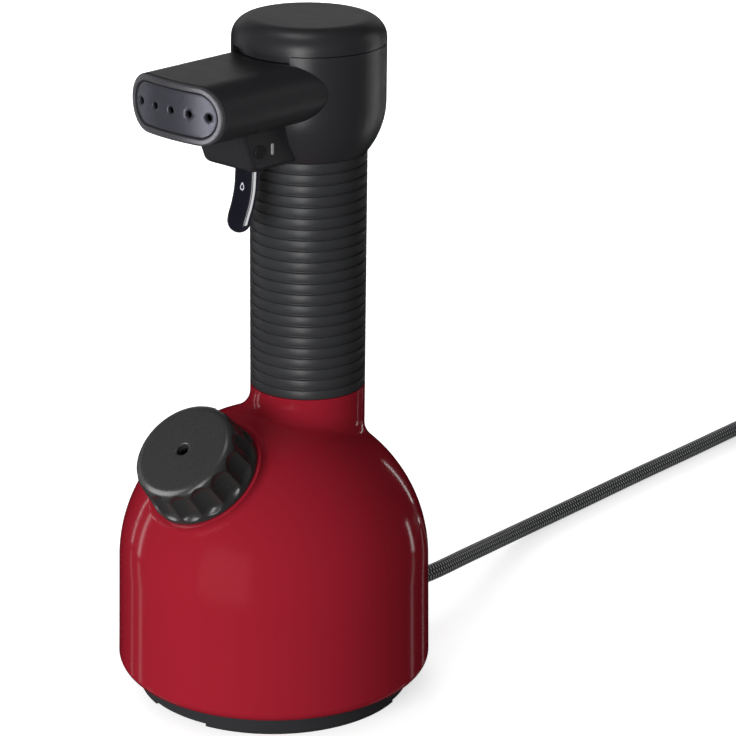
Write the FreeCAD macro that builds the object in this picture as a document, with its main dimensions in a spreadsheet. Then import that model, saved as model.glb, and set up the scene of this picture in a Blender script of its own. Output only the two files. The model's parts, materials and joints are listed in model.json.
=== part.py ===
"""Hand-held garment steamer: a domed base with its boiler, a ribbed grip and a steam head.

Millimetres, +Z up. The origin is the centre of the rubber feet's underside, on the axis of the
domed base. The front, with the filler cap and the steam nozzle, faces -Y; the mains cord leaves
the rear, +Y. Driving sizes are in the spreadsheet "dims"; every sub-part is bound to them.
"""
import FreeCAD, Part
import math
import os

import Sketcher
from FreeCAD import Placement, Rotation, Vector

doc = FreeCAD.newDocument("garment_steamer")
sheet = doc.addObject("Spreadsheet::Sheet", "dims")

DIMENSIONS = {
    # domed base
    "dome_radius": 69.6, "dome_centre": 59.4, "skirt_radius": 70.5, "skirt_level": 14.0,
    "lip_radius": 67.2, "lip_level": 9.7, "shell_wall": 2.7,
    "neck_radius": 25.7, "neck_top": 137.1, "neck_fillet": 8.0, "handle_offset": 21.36,
    "foot_radius": 61.5, "foot_level": 1.5, "foot_pad_inner": 52.0,
    # filler
    "cap_tilt": 40.2, "seat_distance": 66.9, "seat_radius": 27.5, "seat_fillet": 4.0,
    "cap_base": 67.2, "cap_top": 86.94, "cap_base_radius": 26.0, "cap_top_radius": 24.2,
    "flute_radius": 3.6, "flute_centre": 27.4, "flute_count": 15,
    "filler_bore": 12.6, "filler_outer": 15.8, "filler_top": 72.0,
    # grip
    "core_outer": 22.0, "core_inner": 19.6, "grip_radius": 25.67, "grip_bottom": 137.25,
    "grip_top": 244.4, "band_count": 22, "groove_width": 0.8, "groove_depth": 0.9,
    # head
    "head_radius": 33.58, "bowl_radius": 35.78, "bowl_level": 267.0, "head_bottom": 244.6,
    "cap_seam": 292.3, "head_top": 303.35, "head_round": 9.3, "head_wall": 2.5,
    # nozzle
    "nozzle_level": 276.4, "nozzle_half": 27.5, "nozzle_rear_half": 28.5,
    "nozzle_height_half": 12.6, "face_radius": 90.0, "face_front": 61.2, "nozzle_wall": 2.2,
    "rim_depth": 1.8, "rim_width": 3.2, "hole_radius": 1.5, "hole_pitch": 9.9,
    # trigger
    "pivot_y": -23.7, "pivot_z": 254.3, "pin_radius": 1.5, "trigger_half": 6.2,
    "housing_half": 14.9, "housing_bottom": 245.2,
    # steam path
    "tank_radius": 50.0, "tank_bottom": 34.0, "tank_wall": 1.6, "steam_radius": 4.0,
    "valve_y": -15.0,
    # mains cord
    "cord_diameter": 7.8, "exit_level": 16.0, "relief_end": 98.0,
    "coil_x": 21.9, "coil_y": 440.0, "coil_middle": 44.5, "plug_start": 392.0,
}


class Size:
    """A number together with the spreadsheet expression that gives it."""

    def __init__(self, number, text):
        self.number = number
        self.text = text

    def join(self, other, sign, number):
        return Size(number, "(%s %s %s)" % (self.text, sign, text_of(other)))

    def __add__(self, other):
        return self.join(other, "+", self.number + number_of(other))

    def __sub__(self, other):
        return self.join(other, "-", self.number - number_of(other))

    def __mul__(self, other):
        return self.join(other, "*", self.number * number_of(other))

    def __truediv__(self, other):
        return self.join(other, "/", self.number / number_of(other))

    def __neg__(self):
        return Size(-self.number, "(0 - %s)" % self.text)


def number_of(value):
    return value.number if isinstance(value, Size) else float(value)


def text_of(value):
    return value.text if isinstance(value, Size) else repr(float(value))


class Sizes:
    """The spreadsheet's aliases as attributes, each a Size."""


def fill_sheet():
    """Write every driving dimension into the sheet and return them as Size values."""
    sizes = Sizes()
    for row, (alias, value) in enumerate(DIMENSIONS.items(), start=1):
        sheet.set("A%d" % row, alias)
        sheet.set("B%d" % row, str(value))
        sheet.setAlias("B%d" % row, alias)
        setattr(sizes, alias, Size(float(value), "dims.%s" % alias))
    doc.recompute()
    return sizes


s = fill_sheet()
NODES = {}


# ---------------------------------------------------------------- shared helpers

def bind(target, prop, value):
    """Set a property to a size and tie it to the sheet."""
    if isinstance(value, Size):
        target.setExpression(prop, value.text)


def place(target, base, turn=Rotation()):
    """Put an object at base (x, y, z), bound to the sheet, turned by a fixed rotation."""
    target.Placement = Placement(Vector(*[number_of(v) for v in base]), turn)
    for letter, value in zip("xyz", base):
        bind(target, "Placement.Base." + letter, value)


ALONG = {
    "z": Rotation(),
    "x": Rotation(Vector(0, 1, 0), 90),
    "y": Rotation(Vector(1, 0, 0), -90),
    "-y": Rotation(Vector(1, 0, 0), 90),
    "cap": Rotation(Vector(1, 0, 0), DIMENSIONS["cap_tilt"]),
}


def on_cap_axis(distance):
    """The point at a distance from the dome's centre along the tilted filler axis."""
    tilt = math.radians(DIMENSIONS["cap_tilt"])
    reach = number_of(distance)
    along = text_of(distance)
    back = Size(-reach * math.sin(tilt), "(0 - %s * sin(dims.cap_tilt))" % along)
    rise = Size(s.dome_centre.number + reach * math.cos(tilt),
                "(dims.dome_centre + %s * cos(dims.cap_tilt))" % along)
    return (0, back, rise)


def cylinder(name, radius, height, base, along="z"):
    solid = doc.addObject("Part::Cylinder", name)
    solid.Radius = number_of(radius)
    solid.Height = number_of(height)
    bind(solid, "Radius", radius)
    bind(solid, "Height", height)
    place(solid, base, ALONG[along])
    return solid


def cone(name, radius1, radius2, height, base, along="z"):
    solid = doc.addObject("Part::Cone", name)
    solid.Radius1 = number_of(radius1)
    solid.Radius2 = number_of(radius2)
    solid.Height = number_of(height)
    bind(solid, "Radius1", radius1)
    bind(solid, "Radius2", radius2)
    bind(solid, "Height", height)
    place(solid, base, ALONG[along])
    return solid


def box(name, size, corner):
    """A block by its size and its lowest corner."""
    solid = doc.addObject("Part::Box", name)
    for prop, value in zip(("Length", "Width", "Height"), size):
        setattr(solid, prop, number_of(value))
        bind(solid, prop, value)
    place(solid, corner)
    return solid


def cut(name, base, *tools):
    """Take the tools away from the base."""
    result = doc.addObject("Part::Cut", name)
    result.Base = base
    result.Tool = tools[0] if len(tools) == 1 else fuse(name + "_tools", *tools)
    return result


def fuse(name, *pieces):
    result = doc.addObject("Part::MultiFuse", name)
    result.Shapes = list(pieces)
    return result


def common(name, *pieces):
    result = doc.addObject("Part::MultiCommon", name)
    result.Shapes = list(pieces)
    return result


def group(name, *pieces):
    """Separate solids of one kind, kept apart in one compound."""
    result = doc.addObject("Part::Compound", name)
    result.Links = list(pieces)
    return result


def node(label, made):
    """Name a finished sub-part."""
    made.Label = label
    NODES[label] = made
    return made


def shape_node(label, shape, base=None):
    """A sub-part whose shape is made directly, such as a bent tube."""
    made = doc.addObject("Part::Feature", label)
    made.Shape = shape
    if base is not None:
        made.Placement = base
    return node(label, made)


def new_body(name):
    return doc.addObject("PartDesign::Body", name)


def new_sketch(body, role, name, offset=None):
    """A sketch on one of the body's own origin planes, lifted along its normal by offset."""
    plane = [item for item in body.Origin.OriginFeatures if item.Role == role][0]
    sketch = body.newObject("Sketcher::SketchObject", name)
    sketch.AttachmentSupport = [(plane, "")]
    sketch.MapMode = "FlatFace"
    if offset is not None:
        sketch.AttachmentOffset = Placement(Vector(0, 0, number_of(offset)), Rotation())
        bind(sketch, "AttachmentOffset.Base.z", offset)
    return sketch


def arc_between(start, end, radius, turn):
    """The short arc from start to end; turn is 1 counter-clockwise and -1 clockwise."""
    chord = end - start
    half = chord.Length / 2
    rise = math.sqrt(max(radius * radius - half * half, 0.0))
    normal = Vector(-chord.y, chord.x, 0).normalize()
    centre = (start + end) * 0.5 + normal * (rise * turn)
    first, last = (start, end) if turn > 0 else (end, start)
    begin = math.atan2(first.y - centre.y, first.x - centre.x)
    finish = math.atan2(last.y - centre.y, last.x - centre.x)
    circle = Part.Circle(centre, Vector(0, 0, 1), radius)
    return Part.ArcOfCircle(circle, begin, finish)


def constrain(sketch, rules):
    """Add constraints; each is (kind, arguments, size) and a size ties it to the sheet."""
    for kind, arguments, value in rules:
        if value is None:
            sketch.addConstraint(Sketcher.Constraint(kind, *arguments))
            continue
        index = sketch.addConstraint(Sketcher.Constraint(kind, *arguments, number_of(value)))
        if isinstance(value, Size):
            sketch.setExpression("Constraints[%d]" % index, value.text)


def pin_point(edge, position, x, y):
    """Rules that hold one point of an edge at (x, y)."""
    rules = []
    if number_of(x) == 0:
        rules.append(("PointOnObject", (edge, position, -2), None))
    else:
        rules.append(("DistanceX", (-1, 1, edge, position), x))
    if number_of(y) == 0:
        rules.append(("PointOnObject", (edge, position, -1), None))
    else:
        rules.append(("DistanceY", (-1, 1, edge, position), y))
    return rules


def outline(sketch, corners):
    """A closed loop. A corner is (x, y), or (x, y, radius, turn) when an arc leads to it."""
    base = sketch.GeometryCount
    count = len(corners)
    ends = []
    for index, corner in enumerate(corners):
        previous = corners[index - 1]
        start = Vector(number_of(previous[0]), number_of(previous[1]), 0)
        end = Vector(number_of(corner[0]), number_of(corner[1]), 0)
        if len(corner) == 2:
            sketch.addGeometry(Part.LineSegment(start, end), False)
            ends.append((1, 2))
        else:
            sketch.addGeometry(arc_between(start, end, number_of(corner[2]), corner[3]), False)
            ends.append((1, 2) if corner[3] > 0 else (2, 1))
    rules = []
    for index, corner in enumerate(corners):
        edge = base + index
        after = base + (index + 1) % count
        rules.append(("Coincident", (edge, ends[index][1], after, ends[(index + 1) % count][0]), None))
        rules += pin_point(edge, ends[index][1], corner[0], corner[1])
        if len(corner) == 4:
            rules.append(("Radius", (edge,), corner[2]))
    constrain(sketch, rules)


def ring(sketch, x, y, radius):
    """A full circle in a sketch."""
    edge = sketch.GeometryCount
    centre = Vector(number_of(x), number_of(y), 0)
    sketch.addGeometry(Part.Circle(centre, Vector(0, 0, 1), number_of(radius)), False)
    constrain(sketch, pin_point(edge, 3, x, y) + [("Radius", (edge,), radius)])


def stadium(sketch, level, half_width, half_height):
    """A flat-sided oval centred on x = 0 at a level."""
    flat = half_width - half_height
    rules = []
    for side, middle in ((1, flat), (-1, -flat)):
        x = number_of(middle)
        y = number_of(level)
        drop = number_of(half_height) * side
        start = Vector(x, y - drop, 0)
        end = Vector(x, y + drop, 0)
        edge = sketch.addGeometry(arc_between(start, end, number_of(half_height), 1), False)
        rules += pin_point(edge, 3, middle, level)
        rules.append(("Radius", (edge,), half_height))
        rules.append(("DistanceX", (-1, 1, edge, 1), middle))
        rules.append(("DistanceX", (-1, 1, edge, 2), middle))
    for first, second in ((0, 1), (1, 0)):
        start = sketch.getPoint(first, 2)
        end = sketch.getPoint(second, 1)
        edge = sketch.addGeometry(Part.LineSegment(start, end), False)
        rules.append(("Coincident", (first, 2, edge, 1), None))
        rules.append(("Coincident", (edge, 2, second, 1), None))
    constrain(sketch, rules)


def turned(name, corners, base=(0, 0, 0), along="z"):
    """A body of revolution: corners are (radius, level) round its own axis."""
    body = new_body(name)
    sketch = new_sketch(body, "XZ_Plane", name + "_profile")
    outline(sketch, corners)
    spin = body.newObject("PartDesign::Revolution", name + "_spin")
    spin.Profile = sketch
    spin.ReferenceAxis = (sketch, ["V_Axis"])
    spin.Angle = 360
    place(body, base, ALONG[along])
    return body


def pad(body, sketch, length, name, reverse=False):
    made = body.newObject("PartDesign::Pad", name)
    made.Profile = sketch
    made.Length = number_of(length)
    bind(made, "Length", length)
    made.Reversed = reverse
    return made


def extruded_side(name, corners, half_width):
    """A plate cut from a side profile (y, z) and made symmetric about x = 0."""
    body = new_body(name)
    sketch = new_sketch(body, "YZ_Plane", name + "_profile", -half_width)
    outline(sketch, corners)
    pad(body, sketch, half_width * 2, name + "_pad")
    return body


def oval_bar(name, front, rear):
    """A flat-sided oval bar along Y at nozzle level; each end is (y, half width, half height)."""
    body = new_body(name)
    ends = []
    for label, (y, half_width, half_height) in (("_front", front), ("_rear", rear)):
        ends.append(new_sketch(body, "XZ_Plane", name + label, -y))
        stadium(ends[-1], s.nozzle_level, half_width, half_height)
    loft = body.newObject("PartDesign::AdditiveLoft", name + "_loft")
    loft.Profile = ends[0]
    loft.Sections = [ends[1]]
    loft.Ruled = True
    return body


def bent_path(points, radius=None):
    """Straight runs joined by tangent arcs; returns the wire and the arcs' radii."""
    points = [Vector(*[number_of(v) for v in point]) for point in points]
    edges = []
    radii = []
    here = points[0]
    for before, corner, after in zip(points, points[1:], points[2:]):
        inward = (corner - before).normalize()
        outward = (after - corner).normalize()
        half_turn = inward.getAngle(outward) / 2
        shorter = min((corner - before).Length, (after - corner).Length)
        bend = radius if radius else 0.45 * shorter / math.tan(half_turn)
        reach = bend * math.tan(half_turn)
        begin = corner - inward * reach
        finish = corner + outward * reach
        middle_way = (outward - inward).normalize()
        middle = corner + middle_way * (bend / math.cos(half_turn) - bend)
        edges.append(Part.LineSegment(here, begin).toShape())
        edges.append(Part.Arc(begin, middle, finish).toShape())
        radii.append(round(bend, 1))
        here = finish
    edges.append(Part.LineSegment(here, points[-1]).toShape())
    return Part.Wire(edges), radii


def bent_tube(points, outer, inner=None, radius=None):
    """A round bar or pipe along bent_path; returns its shape, length and bend radii."""
    path, radii = bent_path(points, radius)
    start = path.Edges[0]
    origin = start.Vertexes[0].Point
    direction = start.tangentAt(start.FirstParameter)

    def sweep(size):
        loop = Part.Wire(Part.makeCircle(size, origin, direction))
        return path.makePipeShell([loop], True, False)

    shape = sweep(outer)
    if inner:
        shape = shape.cut(sweep(inner))
    return shape, path.Length, radii


def coil_spring(label, radius, wire, turns, base, length):
    """A compression spring standing on base along +Z."""
    pitch = (length - wire * 2) / turns
    helix = Part.makeHelix(pitch, length - wire * 2, radius)
    section = Part.Wire(Part.makeCircle(wire, Vector(radius, 0, 0), Vector(0, 1, 0)))
    shape = Part.Wire(helix).makePipeShell([section], True, True)
    shape.translate(Vector(number_of(base[0]), number_of(base[1]), number_of(base[2]) + wire))
    return shape_node(label, shape)


def screw(name, base, length, head_radius, head_height, shank_radius, along="z"):
    """A pan-head screw whose head sits at base and whose shank runs along the given way."""
    axis = ALONG[along].multVec(Vector(0, 0, 1))
    shank_base = Vector(*[number_of(v) for v in base]) + axis * number_of(head_height)
    head = cylinder(name + "_head", head_radius, head_height, base, along)
    shank = cylinder(name + "_shank", shank_radius, length, tuple(shank_base), along)
    return fuse(name, head, shank)


def around(radius, angle_deg, level):
    """A point on a circle round the Z axis."""
    angle = math.radians(angle_deg)
    return (number_of(radius) * math.cos(angle), number_of(radius) * math.sin(angle), level)


# ---------------------------------------------------------------- domed base

SCREW_ANGLES = (45, 135, 225, 315)
SCREW_CIRCLE = 53.2
POST_BOTTOM = 12.6
POST_HEIGHT = 20.0


def shell_post(index, angle):
    """A screw post inside the shell, ribbed to its wall."""
    name = "post%d" % index
    rib_width = 2.4
    post = cylinder(name, 4.2, POST_HEIGHT, around(SCREW_CIRCLE, angle, POST_BOTTOM))
    rib = box(name + "_rib", (16, rib_width, POST_HEIGHT), (0, 0, 0))
    turn = Rotation(Vector(0, 0, 1), angle)
    corner = Vector(SCREW_CIRCLE, -rib_width / 2, POST_BOTTOM)
    rib.Placement = Placement(turn.multVec(corner), turn)
    pilot = cylinder(name + "_pilot", 1.75, 14, around(SCREW_CIRCLE, angle, POST_BOTTOM - 0.1))
    return cut(name + "_bored", fuse(name + "_ribbed", post, rib), pilot)


def make_body_shell():
    """The glossy dome with its neck, the raised filler seat and the cord hole at the rear."""
    form = new_body("shell_form")
    profile = new_sketch(form, "XZ_Plane", "shell_profile")
    outline(profile, [
        (0, s.lip_level),
        (s.lip_radius, s.lip_level),
        (s.skirt_radius, s.skirt_level, 5.2, 1),
        (s.dome_radius, s.dome_centre),
        (0, s.dome_centre + s.dome_radius, s.dome_radius, 1),
    ])
    spin = form.newObject("PartDesign::Revolution", "shell_spin")
    spin.Profile = profile
    spin.ReferenceAxis = (profile, ["V_Axis"])
    spin.Angle = 360
    neck = new_sketch(form, "XY_Plane", "neck_circle", s.dome_centre)
    ring(neck, 0, s.handle_offset, s.neck_radius)
    pad(form, neck, s.neck_top - s.dome_centre, "neck_pad")
    seat = new_sketch(form, "XY_Plane", "seat_circle")
    ring(seat, 0, 0, s.seat_radius)
    spot = on_cap_axis(s.seat_distance)
    seat.AttachmentOffset = Placement(Vector(*[number_of(v) for v in spot]), ALONG["cap"])
    bind(seat, "AttachmentOffset.Base.y", spot[1])
    bind(seat, "AttachmentOffset.Base.z", spot[2])
    pad(form, seat, 30, "seat_pad", reverse=True)
    round_edges(form, "neck_round", neck_edges, s.neck_fillet)
    round_edges(form, "seat_round", seat_edges, s.seat_fillet)
    wall = s.shell_wall
    cavity = turned("shell_cavity", [
        (0, s.lip_level - 1),
        (s.lip_radius + 0.2, s.lip_level - 1),
        (s.skirt_radius - wall - 0.6, s.skirt_level),
        (s.dome_radius - wall, s.dome_centre),
        (0, s.dome_centre + s.dome_radius - wall, s.dome_radius - wall, 1),
    ])
    posts = [shell_post(index, angle) for index, angle in enumerate(SCREW_ANGLES)]
    hollow = cut("shell_hollow", cavity, *posts)
    seat_cut = cylinder("seat_cut", s.seat_radius + 0.2, 12, on_cap_axis(s.seat_distance), "cap")
    filler = cylinder("filler_cut", s.filler_outer + 0.3, 40, on_cap_axis(s.seat_distance - 20), "cap")
    neck_bore = cylinder("neck_bore", s.core_outer + 0.3, 60,
                         (0, s.handle_offset, s.dome_centre + 30))
    hole = 5.9
    hole_start = s.skirt_radius - 12
    cord_hole = cylinder("cord_hole", hole, 20, (0, hole_start, s.exit_level), "y")
    cord_slot = box("cord_slot", (2 * hole, 20, 8), (-hole, hole_start, s.exit_level - 8))
    node("body_shell", cut("body_shell", form, hollow, seat_cut, filler, neck_bore,
                           cord_hole, cord_slot))


def edge_middles(shape, curved_only=False):
    """Edge names with their middle points; curved_only leaves the straight ones out."""
    for index, edge in enumerate(shape.Edges, start=1):
        straight = isinstance(edge.Curve, (Part.Line, Part.LineSegment))
        if not (straight and curved_only):
            middle = edge.valueAt((edge.FirstParameter + edge.LastParameter) / 2)
            yield "Edge%d" % index, middle


def neck_edges(shape):
    """The edges where the neck cylinder runs into the dome."""
    top = s.neck_top.number - 1
    radius = s.neck_radius.number
    offset = s.handle_offset.number
    return [name for name, point in edge_middles(shape, curved_only=True)
            if 100 < point.z < top
            and abs(math.hypot(point.x, point.y - offset) - radius) < 0.01]


def seat_edges(shape):
    """The edges where the filler seat runs into the dome."""
    centre = Vector(0, 0, s.dome_centre.number)
    axis = ALONG["cap"].multVec(Vector(0, 0, 1))
    names = []
    for name, point in edge_middles(shape, curved_only=True):
        reach = (point - centre).dot(axis)
        away = (point - centre - axis * reach).Length
        if abs(away - s.seat_radius.number) < 0.05 and 60 < reach < s.seat_distance.number - 1:
            names.append(name)
    return names


def round_edges(body, name, chooser, radius):
    """Fillet the edges that the chooser names on the body as it stands."""
    doc.recompute()
    base = body.Tip
    names = chooser(base.Shape)
    fillet = body.newObject("PartDesign::Fillet", name)
    fillet.Base = (base, names)
    fillet.Radius = number_of(radius)
    bind(fillet, "Radius", radius)


def make_base():
    """The closing base under the shell, its rubber feet and its screws."""
    ledge = s.lip_level + 0.2
    ledge_top = ledge + 2.0
    ledge_edge = s.lip_radius - 0.5
    inside = s.foot_radius - 2.6
    floor_top = s.foot_level + 2.5
    plate = turned("base_form", [
        (0, s.foot_level),
        (s.foot_radius, s.foot_level),
        (s.foot_radius, ledge),
        (ledge_edge, ledge),
        (ledge_edge, ledge_top),
        (inside, ledge_top),
        (inside, floor_top),
        (0, floor_top),
    ])
    bosses = [cylinder("boss%d" % i, 4.6, 8.0, around(SCREW_CIRCLE, a, 4.0))
              for i, a in enumerate(SCREW_ANGLES)]
    bores = [cylinder("boss_bore%d" % i, 1.95, 14, around(SCREW_CIRCLE, a, 0))
             for i, a in enumerate(SCREW_ANGLES)]
    sinks = [cylinder("boss_sink%d" % i, 3.6, 5.0, around(SCREW_CIRCLE, a, 1.0))
             for i, a in enumerate(SCREW_ANGLES)]
    relief = cylinder("cord_notch", 8.2, 26, (0, 44, s.exit_level), "y")
    whole = fuse("base_bossed", plate, *bosses)
    node("base_plate", cut("base_plate", whole, relief, *(bores + sinks)))
    screws = [screw("base_screw%d" % i, around(SCREW_CIRCLE, a, 3.7), 16, 3.2, 2.2, 1.7)
              for i, a in enumerate(SCREW_ANGLES)]
    node("base_screws", group("base_screws", *screws))
    pads = []
    pad_edge = s.foot_radius - 0.4
    pad_top = s.foot_level - 0.02
    first_direction = -75
    for index in range(3):
        body = new_body("pad%d" % index)
        sketch = new_sketch(body, "XZ_Plane", "pad%d_profile" % index)
        outline(sketch, [
            (s.foot_pad_inner, 0),
            (pad_edge, 0),
            (pad_edge, pad_top),
            (s.foot_pad_inner, pad_top),
        ])
        spin = body.newObject("PartDesign::Revolution", "pad%d_spin" % index)
        spin.Profile = sketch
        spin.ReferenceAxis = (sketch, ["V_Axis"])
        spin.Angle = 90
        turn = Rotation(Vector(0, 0, 1), first_direction + 120 * index)
        body.Placement = Placement(Vector(), turn)
        pads.append(body)
    node("rubber_feet", group("rubber_feet", *pads))


# ---------------------------------------------------------------- boiler and electrics

STAND_LEVEL = 4.1
BOARD_LEVEL = 9.0
BOARD_TOP = 10.6
ELEMENT_RADIUS = 30.0
ELEMENT_START = 105
ENTRY_START = 46.5
CLAMP_FRONT = 48.5
CLAMP_WIDTH = 26.0
CLAMP_SCREWS = (-9.2, 9.2)


def make_boiler():
    """The pressed steel boiler, its filler neck, its support ring and its outlet."""
    outer = turned("tank_outer", [
        (0, s.tank_bottom),
        (s.tank_radius - 8, s.tank_bottom),
        (s.tank_radius, s.tank_bottom + 8, 8, 1),
        (s.tank_radius, s.dome_centre),
        (0, s.dome_centre + s.tank_radius, s.tank_radius, 1),
    ])
    wall = s.tank_wall
    inner = turned("tank_inner", [
        (0, s.tank_bottom + wall),
        (s.tank_radius - 8, s.tank_bottom + wall),
        (s.tank_radius - wall, s.tank_bottom + 8, 8 - wall.number, 1),
        (s.tank_radius - wall, s.dome_centre),
        (0, s.dome_centre + s.tank_radius - wall, s.tank_radius - wall, 1),
    ])
    mouth = cylinder("tank_mouth", s.filler_outer + 0.05, 20, on_cap_axis(40), "cap")
    outlet = cylinder("tank_outlet", 5.05, 20, (0, s.handle_offset, 95))
    node("boiler_tank", cut("boiler_tank", outer, inner, mouth, outlet))
    neck = cylinder("neck_tube", s.filler_outer, s.filler_top - 45.5, on_cap_axis(45.5), "cap")
    bore = cylinder("neck_tube_bore", s.filler_bore, 40, on_cap_axis(40), "cap")
    node("filler_neck", cut("filler_neck", neck, bore))
    skirt = turned("support_form", [
        (38, STAND_LEVEL),
        (45.5, STAND_LEVEL),
        (45.5, s.tank_bottom - 0.1),
        (43, s.tank_bottom - 0.1),
        (43, STAND_LEVEL + 2),
        (38, STAND_LEVEL + 2),
    ])
    way = box("support_way", (16, 16, 18), (-8, 36, s.exit_level - 9))
    node("boiler_support", cut("boiler_support", skirt, way))


def make_outlet():
    """The fitting on the boiler, the steam pipe through the grip and its bend to the valve."""
    low = cylinder("fitting_low", 5.0, 9.5, (0, s.handle_offset, 100.4))
    nut = turned("fitting_nut", [(0, 108.1), (8.6, 108.1), (8.6, 112.6), (0, 112.6)],
                 (0, s.handle_offset, 0))
    through = cylinder("fitting_bore", s.steam_radius + 0.05, 30, (0, s.handle_offset, 90))
    node("outlet_fitting", cut("outlet_fitting", fuse("fitting", low, nut), through))
    level = s.nozzle_level
    pipe, _, _ = bent_tube([
        (0, s.handle_offset, 101.0),
        (0, s.handle_offset, level),
        (0, 0.5, level),
    ], s.steam_radius.number, s.steam_radius.number - 1.0, radius=12.0)
    shape_node("steam_pipe", pipe)


def make_heater():
    """The tubular heating element under the boiler, its thermostat and its thermal fuse."""
    under = s.tank_bottom
    element = doc.addObject("Part::Torus", "element_ring")
    element.Radius1 = ELEMENT_RADIUS
    element.Radius2 = 3.6
    element.Angle3 = 330
    element.Placement = Placement(Vector(0, 0, under.number - 3.8),
                                  Rotation(Vector(0, 0, 1), ELEMENT_START))
    pins = [cylinder("element_pin%d" % i, 2.2, 12, around(ELEMENT_RADIUS, angle, under - 15.8))
            for i, angle in enumerate((ELEMENT_START + 4, ELEMENT_START + 326))]
    node("heating_element", fuse("heating_element", element, *pins))
    disc = cylinder("thermostat_disc", 9, 7.5, (0, 0, under - 7.7))
    tabs = [box("thermostat_tab%d" % i, (4, 0.8, 7), (x, -0.4, under - 14.2))
            for i, x in enumerate((-7, 3))]
    node("thermostat", fuse("thermostat", disc, *tabs))
    fuse_y = -17
    fuse_level = under - 2.3
    fuse_can = cylinder("fuse_can", 2, 13, (-6.5, fuse_y, fuse_level), "x")
    legs = cylinder("fuse_legs", 0.5, 25, (-12.5, fuse_y, fuse_level), "x")
    node("thermal_fuse", fuse("thermal_fuse", fuse_can, legs))


def make_board():
    """The control board on its four spacers, and the terminal block behind it."""
    board = box("board_plate", (54, 34, BOARD_TOP - BOARD_LEVEL), (-27, -20, BOARD_LEVEL))
    relay = box("board_relay", (19, 15, 7), (4, -16, BOARD_TOP))
    capacitor = cylinder("board_capacitor", 4, 7.0, (-16, -10, BOARD_TOP))
    choke = box("board_choke", (10, 8, 6), (-22, 2, BOARD_TOP))
    node("control_board", fuse("control_board", board, relay, capacitor, choke))
    corners = ((-23, -16), (23, -16), (-23, 10), (23, 10))
    bottom = STAND_LEVEL - 0.05
    stands = [cylinder("stand%d" % i, 2.4, BOARD_LEVEL - 0.05 - bottom, (x, y, bottom))
              for i, (x, y) in enumerate(corners)]
    node("board_spacers", group("board_spacers", *stands))
    node("terminal_block", box("terminal_block", (14, 10, 9), (-7, 24, STAND_LEVEL)))


def make_leads():
    """The cord inside the base, its three cores to the block and the heater's two leads."""
    level = s.exit_level.number
    node("cord_entry", cylinder("cord_entry", s.cord_diameter / 2, s.relief_end - ENTRY_START,
                                (0, ENTRY_START, s.exit_level), "y"))
    cores = []
    for offset in (-2.4, 0, 2.4):
        spread = offset * 1.8
        lead, _, _ = bent_tube([
            (offset, ENTRY_START - 0.1, level),
            (spread, 38, level - 0.4),
            (spread, 34.2, level - 5),
        ], 0.9)
        cores.append(lead)
    shape_node("mains_leads", Part.makeCompound(cores))
    heater_leads = []
    for pin_angle, x in ((ELEMENT_START + 4, -4), (ELEMENT_START + 326, 12)):
        top = around(ELEMENT_RADIUS, pin_angle, 17.9)
        over = (top[0], top[1], BOARD_TOP + 2.0)
        lead, _, _ = bent_tube([top, over, (x, 13.4, BOARD_TOP + 1.3)], 1.1)
        heater_leads.append(lead)
    shape_node("heater_leads", Part.makeCompound(heater_leads))


def make_cord_clamp():
    """The two halves that grip the cord inside the base, and their screws."""
    left = -CLAMP_WIDTH / 2
    middle = CLAMP_FRONT + 3.5
    level = s.exit_level
    low = box("clamp_low", (CLAMP_WIDTH, 7, level - 0.2), (left, CLAMP_FRONT, STAND_LEVEL))
    channel = box("clamp_channel", (8.4, 9, 20), (-4.2, CLAMP_FRONT - 1, level - 4.1))
    bar = box("clamp_bar", (CLAMP_WIDTH, 7, 3), (left, CLAMP_FRONT, level + 4.1))
    holes = []
    screws = []
    for index, x in enumerate(CLAMP_SCREWS):
        holes.append(cylinder("clamp_hole%d" % index, 1.4, 20, (x, middle, level - 7)))
        head = cylinder("clamp_head%d" % index, 2.7, 2.0, (x, middle, level + 7.2))
        shank = cylinder("clamp_shank%d" % index, 1.3, 12, (x, middle, level - 4.7))
        screws.append(fuse("clamp_screw%d" % index, head, shank))
    halves = group("clamp_halves", cut("clamp_seat", low, channel), bar)
    node("cord_clamp", cut("cord_clamp", halves, *holes))
    node("clamp_screws", group("clamp_screws", *screws))


# ---------------------------------------------------------------- filler cap

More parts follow.
